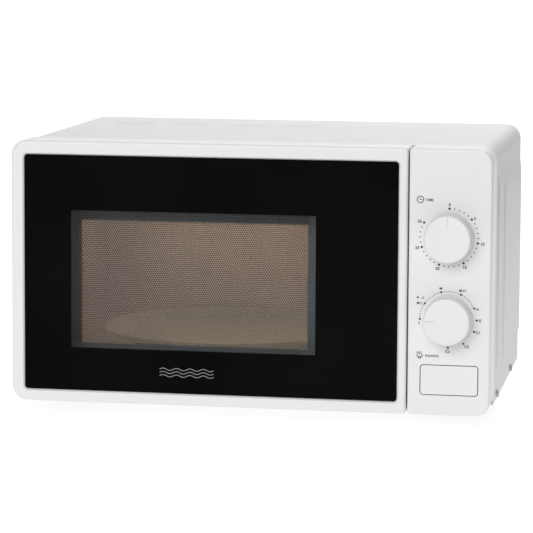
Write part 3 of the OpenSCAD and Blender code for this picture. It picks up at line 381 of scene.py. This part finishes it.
FINISHES = {
    "painted_steel": powder_coat("cabinet paint", CABINET_WHITE),
    "zinc_steel": rolled_metal("zinc-plated sheet", (0.62, 0.63, 0.64), 0.36, (1.0, 1.0, 0.04), spangle=0.3),
    "oven_enamel": oven_enamel(),
    "case_plastic": moulded("case plastic", WHITE, 0.34, coat=0.15, shade=0.02),
    "door_glass": printed_glass(WINDOW),
    "dark_steel": screen_paint(),
    "dark_plastic": moulded("black plastic", (0.018, 0.018, 0.019), 0.48, grain=0.12, shade=0.25),
    "clear_film": clear_sheet("clear film", (0.93, 0.94, 0.94), 0.12),
    "engineering_plastic": moulded("natural plastic", (0.66, 0.65, 0.60), 0.45, grain=0.08, shade=0.05),
    "turntable_glass": clear_sheet("pressed glass", (0.93, 0.96, 0.95), 0.08, 1.5, body=0.03, milk=0.6),
    "mica": mica(),
    "aluminium_fins": rolled_metal("fin sheet", (0.80, 0.81, 0.82), 0.28, (1.0, 0.05, 1.0)),
    "copper_alloy": windings(),
    "iron_core": laminations(),
    "plated_steel": rolled_metal("bright plating", (0.72, 0.72, 0.73), 0.2, (0.05, 1.0, 1.0)),
    "quartz": clear_sheet("quartz tube", (0.93, 0.91, 0.90), 0.22, 1.45, body=0.35),
    "lamp_glass": lit_glass(),
    "capacitor_can": rolled_metal("drawn can", (0.70, 0.71, 0.72), 0.33, (1.0, 1.0, 0.03)),
    "diode_body": moulded("diode body", (0.012, 0.012, 0.012), 0.4, grain=0.1, shade=0.3),
    "circuit_board": circuit_board(),
    "screw_steel": rolled_metal("dull screw plating", (0.46, 0.46, 0.465), 0.5, (1.0, 1.0, 0.2),
                                metallic=0.5),
}
PRINT_BLACK = ink("black print", (0.012, 0.012, 0.012))
PRINT_GREY = ink("pale grey print", (0.22, 0.225, 0.23))
FLOOR_WHITE = light_table()


# ---------------------------------------------------------------- making pieces

def finished(name, mesh, body, slot, material=None, smooth=True):
    """Puts a mesh in the scene as a piece that rides on a CAD body."""
    piece = bpy.data.objects.new(name, mesh)
    bpy.context.scene.collection.objects.link(piece)
    mesh.materials.clear()
    mesh.materials.append(material or FINISHES[slot])
    for face in mesh.polygons:
        face.material_index = 0
        face.use_smooth = smooth
    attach(piece, body)
    return piece


def mesh_from(name, points, faces):
    mesh = bpy.data.meshes.new(name)
    mesh.from_pydata(points, [], faces)
    mesh.update()
    return mesh


def evaluated(piece):
    """A plain mesh of an object with its modifiers applied; the object is used up."""
    bpy.context.view_layer.update()
    ready = piece.evaluated_get(bpy.context.evaluated_depsgraph_get())
    mesh = bpy.data.meshes.new_from_object(ready)
    old = piece.data
    bpy.data.objects.remove(piece)
    if old.users == 0 and isinstance(old, bpy.types.Mesh):
        bpy.data.meshes.remove(old)
    return mesh


def joined(name, meshes):
    work = bmesh.new()
    for mesh in meshes:
        work.from_mesh(mesh)
        bpy.data.meshes.remove(mesh)
    whole = bpy.data.meshes.new(name)
    work.to_mesh(whole)
    work.free()
    return whole


def grown(piece, tree, **sizes):
    """Runs a geometry tree on an object, its inputs given by name, and returns the plain mesh."""
    modifier = piece.modifiers.new("pattern", "NODES")
    modifier.node_group = tree
    for item in tree.interface.items_tree:
        if item.item_type == "SOCKET" and item.in_out == "INPUT" and item.name in sizes:
            modifier[item.identifier] = sizes[item.name]
    return evaluated(piece)


def new_geometry_tree(name, inputs):
    """A geometry tree with named inputs: {name: (socket type, default)}."""
    group = bpy.data.node_groups.new(name, "GeometryNodeTree")
    group.is_modifier = True
    group.interface.new_socket("Geometry", in_out="INPUT", socket_type="NodeSocketGeometry")
    group.interface.new_socket("Geometry", in_out="OUTPUT", socket_type="NodeSocketGeometry")
    for label, (kind, default) in inputs.items():
        socket = group.interface.new_socket(label, in_out="INPUT", socket_type=kind)
        if default is not None:
            socket.default_value = default
    tree = Tree(group)
    entry = tree.add("NodeGroupInput")
    return tree, {label: tree.twin(entry, label) for label in ["Geometry", *inputs]}


def close_tree(tree, geometry, material):
    whole = tree.add("GeometryNodeRealizeInstances", None, {"Geometry": geometry})
    whole = tree.add("GeometryNodeSetMaterial", None, {"Geometry": whole, "Material": material})
    tree.add("NodeGroupOutput", None, {0: whole})
    return tree.tree


# ---------------------------------------------------------------- perforated screen

def perforation():
    """Hexagonal cells in staggered rows with a hole in each; the sheet faces -Y."""
    tree, given = new_geometry_tree("perforated screen", {
        "Columns": ("NodeSocketInt", 100), "Rows": ("NodeSocketInt", 60), "Pitch": ("NodeSocketFloat", 0.002),
        "Open Share": ("NodeSocketFloat", 0.7), "Depth": ("NodeSocketFloat", 0.0005),
        "Centre": ("NodeSocketVector", None), "Material": ("NodeSocketMaterial", None)})
    pitch, columns, rows = given["Pitch"], given["Columns"], given["Rows"]
    grid = tree.add("GeometryNodeMeshGrid", None, {
        "Size X": (columns - 1) * pitch, "Size Y": (rows - 1) * pitch * math.sqrt(0.75),
        "Vertices X": columns, "Vertices Y": rows})
    row = tree.add("GeometryNodeInputIndex") % rows
    stagger = tree.add("ShaderNodeCombineXYZ", None, {"X": ((row % 2.0) - 0.5) * pitch * 0.5})
    centres = tree.add("GeometryNodeSetPosition", None, {"Geometry": grid, "Offset": stagger})
    cell = tree.add("GeometryNodeMeshCircle", {"fill_type": "NGON"}, {
        "Vertices": 6, "Radius": pitch / math.sqrt(3.0)})
    cell = tree.add("GeometryNodeTransform", None, {
        "Geometry": cell, "Rotation": (0.0, 0.0, math.radians(30.0))})
    rim = tree.add("GeometryNodeExtrudeMesh", None, {"Mesh": cell, "Offset Scale": 0.0})
    inner = tree.twin(rim, "Top")
    rim = tree.add("GeometryNodeScaleElements", None, {
        "Geometry": rim, "Selection": inner, "Scale": given["Open Share"]})
    wall = tree.add("GeometryNodeExtrudeMesh", None, {
        "Mesh": rim, "Selection": inner, "Offset Scale": given["Depth"] * -1.0})
    holed = tree.add("GeometryNodeDeleteGeometry", {"domain": "FACE"}, {
        "Geometry": wall, "Selection": tree.twin(wall, "Top")})
    sheet = tree.add("GeometryNodeInstanceOnPoints", None, {"Points": centres, "Instance": holed})
    sheet = tree.add("GeometryNodeTransform", None, {
        "Geometry": sheet, "Rotation": (math.radians(90.0), 0.0, 0.0), "Translation": given["Centre"]})
    return close_tree(tree, sheet, given["Material"])


def empty_piece(name):
    piece = bpy.data.objects.new(name, bpy.data.meshes.new(name))
    bpy.context.scene.collection.objects.link(piece)
    return piece


def cut_copy(node, low, high):
    """A copy of a CAD node's mesh with a box cut out of it."""
    mesh = frame["nodes"][node].data.copy()
    work = bmesh.new()
    work.from_mesh(mesh)
    bmesh.ops.remove_doubles(work, verts=work.verts, dist=1e-6)
    work.to_mesh(mesh)
    work.free()
    piece = bpy.data.objects.new(node + " cut", mesh)
    bpy.context.scene.collection.objects.link(piece)
    bpy.ops.mesh.primitive_cube_add(size=1, location=(Vector(low) + Vector(high)) / 2)
    tool = bpy.context.object
    tool.scale = Vector(high) - Vector(low)
    cut = piece.modifiers.new("cut", "BOOLEAN")
    cut.operation = "DIFFERENCE"
    cut.solver = "EXACT"
    cut.object = tool
    result = evaluated(piece)
    bpy.data.objects.remove(tool)
    return result


def make_screen():
    """Steel panel inside the door, its window perforated."""
    pitch = 2.1 * MM
    open_share = 0.61
    steel = 0.4 * MM
    x_low, x_high, z_low, z_high = WINDOW
    hole_x0, hole_x1 = x_low - 7.0 * MM, x_high - 9.5 * MM
    hole_z0, hole_z1 = z_low - 1.2 * MM, z_high + 7.7 * MM
    columns = int((hole_x1 - hole_x0) / pitch)
    rows = int((hole_z1 - hole_z0) / (pitch * math.sqrt(0.75)))
    screen_y = pane_lo.y - 1.0 * MM
    centre = Vector(((hole_x0 + hole_x1) / 2, screen_y - 0.05 * MM, (hole_z0 + hole_z1) / 2))
    sheet = grown(empty_piece("screen cells"), perforation(), **{
        "Columns": columns, "Rows": rows, "Pitch": pitch, "Open Share": open_share, "Depth": steel,
        "Centre": centre, "Material": FINISHES["dark_steel"]})
    half = Vector(((columns - 1) * pitch / 2, 8 * MM, (rows - 1) * pitch * math.sqrt(0.75) / 2))
    pan = cut_copy("door_inner_panel", centre - half, centre + half)
    for face in pan.polygons:
        face.use_smooth = False
    finished("perforated_screen", sheet, "door", "dark_steel", smooth=False)
    panel = finished("door_steel_panel", pan, "door", "dark_steel", smooth=False)
    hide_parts("door_inner_panel")


# ---------------------------------------------------------------- cabinet

def smooth_step(t):
    t = min(1.0, max(0.0, t))
    return t * t * (3 - 2 * t)


def soft_least(values, k=0.08):
    """The least of some shares, rounded where two of them meet."""
    least = values[0]
    for value in values[1:]:
        h = max(0.0, min(1.0, 0.5 + 0.5 * (value - least) / k))
        least = value * (1 - h) + least * h - k * h * (1 - h)
    return least


def two_steps(share):
    """A border pressed in two steps with a flat strip between them."""
    return 0.55 * smooth_step(share / 0.07) + 0.45 * smooth_step((share - 0.93) / 0.07) + max(0.0, share - 1)


def pressing_share(u, v, foot, top, border=lambda share: share):
    """How far a point lies up the slopes of a pressing, from 0 at its foot to 1 on its flat."""
    shares = [border((u - foot[0]) / (top[0] - foot[0])), (v - foot[1]) / (top[1] - foot[1]),
              (foot[2] - u) / (foot[2] - top[2]), (foot[3] - v) / (foot[3] - top[3])]
    t = soft_least([min(1.6, s) for s in shares])
    t = min(1.0, max(0.0, t))
    ease = 0.07
    if t < ease:
        return t * t / (2 * ease) / (1 - ease)
    if t > 1 - ease:
        return 1 - (1 - t) ** 2 / (2 * ease) / (1 - ease)
    return (t - ease / 2) / (1 - ease)


def spaced(stops, coarse, fine, reach):
    """Places from the first stop to the last, close together near every stop."""
    places = []
    at_now = stops[0]
    while at_now < stops[-1] - 1e-9:
        places.append(at_now)
        near = min(abs(at_now - s) for s in stops)
        at_now += fine if near < reach else coarse
    places.append(stops[-1])
    return places


# Cabinet pressings in millimetres, as in the CAD source. A foot or a top is the outline of the slopes' lower or
# upper edge: low depth, low height, high depth, high height.
EMBOSS = 2.3
RECESS = 2.4
CABINET_HALF = 219.0
CABINET_CORNER = 14.0
CABINET_SHEET = 0.7
REAR_BEND = 1.4
REAR_LIP = 12.0
SIDE_FOOT = (66.0, 48.0, 302.0, 227.0)
SIDE_TOP = (122.0, 52.0, 296.0, 208.0)
ROOF_FIRST = -184.0
ROOF_PITCH = 56.2
ROOF_SIZE = (46.0, 64.0)
ROOF_DEPTH = 186.0
ROOF_SLOPE = 5.0


def roof_relief(x, depth):
    for i in range(4):
        x0 = ROOF_FIRST + ROOF_PITCH * i
        foot = (x0, ROOF_DEPTH, x0 + ROOF_SIZE[0], ROOF_DEPTH + ROOF_SIZE[1])
        if foot[0] < x < foot[2] and foot[1] < depth < foot[3]:
            top = (foot[0] + ROOF_SLOPE, foot[1] + ROOF_SLOPE, foot[2] - ROOF_SLOPE, foot[3] - ROOF_SLOPE)
            return -RECESS * pressing_share(x, depth, foot, top)
    return 0.0


def make_cabinet():
    """Pressed sheet: up one side, over the roof, down the other, with a lip turned in at the rear."""
    r = CABINET_CORNER
    half = CABINET_HALF
    z0, z1 = cabinet_lo.z / MM, cabinet_hi.z / MM
    front, rear = (cabinet_lo.y - FACE_Y) / MM, (cabinet_hi.y - FACE_Y) / MM

    # Places are close together where a slope starts or ends
    side_z = spaced([z0, 44.0, 56.0, 200.0, 230.0, z1 - r], 5.0, 1.5, 7.0)
    roof_stops = [-half + r]
    for i in range(4):
        x0 = ROOF_FIRST + ROOF_PITCH * i
        roof_stops += [x0, x0 + ROOF_SIZE[0]]
    roof_x = spaced(roof_stops + [half - r], 6.0, 1.6, 7.0)
    arc = [math.radians(90 * i / 12) for i in range(1, 12)]

    path = [("left", z) for z in side_z]
    path += [("left arc", a) for a in arc]
    path += [("roof", x) for x in roof_x]
    path += [("right arc", a) for a in reversed(arc)]
    path += [("right", z) for z in reversed(side_z)]

    depth_stops = [front, 62.0, 70.0, 118.0, 126.0, ROOF_DEPTH, ROOF_DEPTH + ROOF_SIZE[1], 292.0, 304.0]
    depths = spaced(depth_stops + [rear - REAR_BEND], 6.0, 1.6, 6.0)
    # Each run is a depth and how far the sheet is drawn in there
    runs = [(front + 0.9, 0.9), (front + 0.25, 0.35)] + [(d, 0.0) for d in depths]
    for i in range(1, 5):
        a = math.radians(22.5 * i)
        runs.append((rear - REAR_BEND * (1 - math.sin(a)), REAR_BEND * (1 - math.cos(a))))
    runs.append((rear, REAR_LIP))

    def place(kind, value, depth, inset):
        if kind in ("left", "right"):
            share = pressing_share(depth, value, SIDE_FOOT, SIDE_TOP, two_steps) if inset == 0.0 else 0.0
            x = half - inset + EMBOSS * share
            return (-x if kind == "left" else x, value)
        if kind == "roof":
            return (value, z1 - inset + (roof_relief(value, depth) if inset == 0.0 else 0.0))
        radius = r - inset
        x = half - r + radius * math.cos(value)
        return (-x if kind == "left arc" else x, z1 - r + radius * math.sin(value))

    points = []
    for kind, value in path:
        for depth, inset in runs:
            x, z = place(kind, value, depth, inset)
            points.append((x * MM, at(depth), z * MM))
    width = len(runs)
    faces = [(i * width + j, (i + 1) * width + j, (i + 1) * width + j + 1, i * width + j + 1)
             for i in range(len(path) - 1) for j in range(width - 1)]
    mesh = mesh_from("cabinet", points, faces)
    piece = bpy.data.objects.new("cabinet", mesh)
    bpy.context.scene.collection.objects.link(piece)
    thick = piece.modifiers.new("sheet", "SOLIDIFY")
    thick.thickness = CABINET_SHEET * MM
    thick.offset = -1
    mesh = evaluated(piece)
    piece = finished("cabinet_shell", mesh, "root", "painted_steel")
    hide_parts("outer_cabinet")


# ---------------------------------------------------------------- printed marks

def dots_tree():
    """A small disc on each point, facing -Y."""
    tree, given = new_geometry_tree("printed dots", {
        "Radius": ("NodeSocketFloat", 0.001), "Material": ("NodeSocketMaterial", None)})
    disc = tree.add("GeometryNodeMeshCircle", {"fill_type": "NGON"}, {
        "Vertices": 12, "Radius": given["Radius"]})
    disc = tree.add("GeometryNodeTransform", None, {
        "Geometry": disc, "Rotation": (math.radians(90.0), 0.0, 0.0)})
    dots = tree.add("GeometryNodeInstanceOnPoints", None, {"Points": given["Geometry"], "Instance": disc})
    return close_tree(tree, dots, given["Material"])


DOTS = dots_tree()
# How far print stands proud of its surface, in millimetres
PRINT_LIFT = 0.06


def round_dial(centre, radius, degrees, depth=-PRINT_LIFT):
    """Places on a circle in the X-Z plane; degrees run clockwise from the top."""
    x, z = centre
    angles = [math.radians(a) for a in degrees]
    return [(x + radius * math.sin(a), at(depth), z + radius * math.cos(a)) for a in angles]


def dots(places, radius):
    piece = bpy.data.objects.new("dots", mesh_from("dots", places, []))
    bpy.context.scene.collection.objects.link(piece)
    return grown(piece, DOTS, Radius=radius, Material=PRINT_BLACK)


def label(text, x, z, height, depth=-PRINT_LIFT, weight=0.034, spacing=1.08):
    """Flat lettering, centred on a place in the X-Z plane; its weight is a share of its size."""
    curve = bpy.data.curves.new("label", "FONT")
    curve.body = text
    curve.align_x = "CENTER"
    pointed = bool(set(text) & set("MW"))
    curve.offset = 0.25 * weight if pointed else weight
    curve.space_character = spacing
    curve.resolution_u = 3
    piece = bpy.data.objects.new("label", curve)
    bpy.context.scene.collection.objects.link(piece)
    mesh = evaluated(piece)
    low = min(v.co.y for v in mesh.vertices)
    high = max(v.co.y for v in mesh.vertices)
    mesh.transform(Matrix.Translation((0, -(low + high) / 2, 0)))
    mesh.transform(Matrix.Scale(height / 0.7, 4))
    mesh.transform(Matrix.Translation((x, at(depth), z)) @ Matrix.Rotation(math.radians(90), 4, "X"))
    if not pointed:
        return mesh
    # Letters with sharp inner corners are thickened by a second print beside the first
    second = mesh.copy()
    second.transform(Matrix.Translation((0.06 * height, -0.01 * MM, 0)))
    return joined("label", [mesh, second])


def ribbon(points, width, depth=-PRINT_LIFT):
    """A flat stroke of even width through points (x, z)."""
    half = width / 2
    places, faces = [], []
    for i, (x, z) in enumerate(points):
        ahead = points[min(i + 1, len(points) - 1)]
        behind = points[max(i - 1, 0)]
        run = Vector((ahead[0] - behind[0], ahead[1] - behind[1])).normalized()
        places.append((x - run.y * half, at(depth), z + run.x * half))
        places.append((x + run.y * half, at(depth), z - run.x * half))
        if i:
            faces.append((2 * i - 2, 2 * i - 1, 2 * i + 1, 2 * i))
    return mesh_from("stroke", places, faces)


def arc_points(x, z, radius, start, end, steps=20):
    """Points on an arc; degrees run clockwise from the top."""
    angles = [math.radians(start + (end - start) * i / steps) for i in range(steps + 1)]
    return [(x + radius * math.sin(a), z + radius * math.cos(a)) for a in angles]


def middle(low, high):
    return (low.x + high.x) / 2, (low.z + high.z) / 2


TIMER_RING = 26.0 * MM
POWER_RING = 25.4 * MM
# Dial marks: degrees clockwise from the top, wording, and the wording's place beside its dot in millimetres
TIMER_MARKS = [(0, "0", 0.0, 3.5), (50, "5", 2.8, 1.0), (100, "10", 4.1, -0.6), (150, "15", 1.1, -3.6),
               (200, "20", -1.3, -3.5), (250, "25", -4.0, -0.6), (300, "30", -4.1, 1.1)]
POWER_MARKS = [(270, "L", -0.4, -3.5), (304, "M.L", -4.8, 0.1), (345, "M", -0.3, 3.4), (386, "M.H", 1.3, 3.6),
               (425, "H", 2.9, -0.8), (450, "G", 2.9, -0.1), (474, "C1", 3.5, -0.7), (507, "C2", 2.9, -2.5),
               (540, "C3", -0.2, -3.4)]


def dial_marks(centre, ring, marks, dot, height):
    """A dot for each mark and its wording beside it."""
    places = round_dial(centre, ring, [mark[0] for mark in marks])
    pieces = [dots(places, dot)]
    for (x, _, z), (_, text, across, up) in zip(places, marks):
        pieces.append(label(text, x + across * MM, z + up * MM, height))
    return pieces


def make_dial_print():
    """Numbers, level letters and dots of the control panel."""
    timer = middle(timer_lo, timer_hi)
    power = middle(power_lo, power_hi)
    marks = dial_marks(timer, TIMER_RING, TIMER_MARKS, 1.1 * MM, 2.5 * MM)
    minutes = [a for a in range(0, 300, 10) if a % 50]
    marks.append(dots(round_dial(timer, TIMER_RING, minutes), 0.62 * MM))
    marks += dial_marks(power, POWER_RING, POWER_MARKS, 1.0 * MM, 2.3 * MM)
    stops = [mark[0] for mark in POWER_MARKS]
    fine = [270 + 5.0 * i for i in range(32)]
    fine = [a for a in fine if min(abs(a - s) for s in stops) > 2.8]
    marks.append(dots(round_dial(power, POWER_RING, fine), 0.48 * MM))
    return marks


def star_strokes(x, z, radius, width):
    """Six-pointed frost star."""
    strokes = []
    for a in (0, 60, 120):
        dx, dz = radius * math.sin(math.radians(a)), radius * math.cos(math.radians(a))
        strokes.append(ribbon([(x - dx, z - dz), (x + dx, z + dz)], width))
    return strokes


def make_symbols():
    """Clock by the timer, frost star and drop by the low power, dish and steam by the power dial."""
    timer_x, timer_z = middle(timer_lo, timer_hi)
    power_x, power_z = middle(power_lo, power_hi)
    clock_x, clock_z = timer_x - 26.1 * MM, timer_z + 33.6 * MM
    dish_x, dish_z = power_x - 25.2 * MM, power_z - 32.6 * MM
    line = 0.7 * MM
    strokes = [
        ribbon(arc_points(clock_x, clock_z, 2.9 * MM, 0, 360, 32), line),
        ribbon([(clock_x - 0.2 * MM, clock_z - 0.1 * MM), (clock_x + 1.8 * MM, clock_z + 0.1 * MM)],
               line * 0.9),
        ribbon([(clock_x, clock_z), (clock_x - 1.2 * MM, clock_z + 1.0 * MM)], line * 0.9),
        ribbon(arc_points(dish_x, dish_z + 1.5 * MM, 3.3 * MM, 118, 242, 14), line * 1.1),
        ribbon([(dish_x - 1.4 * MM, dish_z - 2.7 * MM), (dish_x + 1.4 * MM, dish_z - 2.7 * MM)], line),
    ]
    for i in range(3):
        x0 = dish_x + (i - 1) * 1.7 * MM
        steam = [(x0 + (0.35 * math.sin(t * 1.25) - 0.16 * t) * MM, dish_z + (0.1 + t * 0.62) * MM)
                 for t in range(6)]
        strokes.append(ribbon(steam, line * 0.9))
    strokes += star_strokes(power_x - 27.4 * MM, power_z + 19.4 * MM, 1.3 * MM, 0.42 * MM)
    drop_x, drop_z = power_x - 22.9 * MM, power_z + 19.2 * MM
    strokes.append(ribbon(arc_points(drop_x, drop_z - 0.3 * MM, 0.75 * MM, 40, 320, 12)
                          + [(drop_x, drop_z + 1.2 * MM), (drop_x + 0.5 * MM, drop_z + 0.3 * MM)], 0.4 * MM))
    strokes.append(label("TIME", timer_x - 17.8 * MM, clock_z - 0.2 * MM, 2.3 * MM, spacing=1.1))
    strokes.append(label("POWER", power_x - 14.2 * MM, dish_z - 0.6 * MM, 2.3 * MM, spacing=1.1))
    return strokes


def make_emblem():
    """Three waves printed on the glass, a plain ornament."""
    x0 = glass_lo.x + 126.5 * MM
    z0 = glass_lo.z + 19.0 * MM
    length = 50.0 * MM
    height = 1.0 * MM
    spacing = 3.0 * MM
    steps, steps_a_wave = 48, 12
    waves = []
    for row in (-1, 0, 1):
        run = [(x0 + length * t / steps, z0 + row * spacing + height * math.sin(t * 2 * math.pi / steps_a_wave))
               for t in range(steps + 1)]
        waves.append(ribbon(run, 0.6 * MM, depth=0.22))
    finished("glass_ornament", joined("glass ornament", waves), "door", "case_plastic", PRINT_GREY,
             smooth=False)


# ---------------------------------------------------------------- stage

def make_floor():
    """Table top that runs up into a back wall in one sweep."""
    flat_to = 2.0
    r = 1.5
    sweep = [(-3.0, 0.0), (flat_to, 0.0)]
    for degrees in range(6, 91, 6):
        a = math.radians(degrees)
        sweep.append((flat_to + r * math.sin(a), r - r * math.cos(a)))
    sweep.append((flat_to + r, 4.0))
    points = [(x, y, z) for y, z in sweep for x in (-1.6, 0.95)]
    faces = [(2 * i, 2 * i + 1, 2 * i + 3, 2 * i + 2) for i in range(len(sweep) - 1)]
    mesh = mesh_from("floor", points, faces)
    floor = bpy.data.objects.new("floor", mesh)
    bpy.context.scene.collection.objects.link(floor)
    mesh.materials.append(FLOOR_WHITE)
    for face in mesh.polygons:
        face.use_smooth = True


def soft_light(name, place, target, size, power, colour=(1.0, 1.0, 1.0)):
    lamp = bpy.data.lights.new(name, "AREA")
    lamp.shape = "RECTANGLE"
    lamp.size, lamp.size_y = size
    lamp.energy = power
    lamp.color = colour
    holder = bpy.data.objects.new(name, lamp)
    holder.location = place
    holder.rotation_euler = (Vector(target) - Vector(place)).to_track_quat("-Z", "Y").to_euler()
    bpy.context.scene.collection.objects.link(holder)


def set_lights():
    world = bpy.data.worlds.new("studio")
    world.use_nodes = True
    sky = world.node_tree.nodes["Background"]
    sky.inputs["Color"].default_value = (1.0, 1.0, 1.0, 1.0)
    sky.inputs["Strength"].default_value = 0.17
    bpy.context.scene.world = world
    soft_light("key", (-0.5, -3.0, 1.7), (0, 0, 0.1), (2.8, 2.0), 77)
    soft_light("roof light", (0.45, 1.3, 1.9), (0, 0, 0.2), (1.0, 1.0), 10)
    soft_light("top light", (0.95, 0.3, 2.2), (0, 0, 0.15), (0.8, 0.8), 12)
    soft_light("wall light", (0, 1.2, 2.6), (0, 3.4, 1.0), (3.0, 1.0), 60)
    lamp = bpy.data.lights.new("oven light", "POINT")
    lamp.energy = 1.12
    lamp.color = (1.0, 0.68, 0.44)
    lamp.shadow_soft_size = 0.03
    holder = bpy.data.objects.new("oven light", lamp)
    holder.location = (oven_hi.x - 150 * MM, (lamp_lo.y + lamp_hi.y) / 2, (lamp_lo.z + lamp_hi.z) / 2)
    bpy.context.scene.collection.objects.link(holder)
    bpy.context.scene.view_settings.view_transform = "Standard"


# ---------------------------------------------------------------- assembly

for part in frame["record"]["subparts"]:
    node = frame["nodes"][part["node"]]
    node.data.materials.clear()
    node.data.materials.append(FINISHES[part["material_slot"]])

make_cabinet()
make_screen()
finished("dial_print", joined("dial print", make_dial_print()), "root", "dark_plastic", PRINT_BLACK,
         smooth=False)
finished("control_symbols", joined("control symbols", make_symbols()), "root", "dark_plastic", PRINT_BLACK,
         smooth=False)
make_emblem()
make_floor()
set_lights()
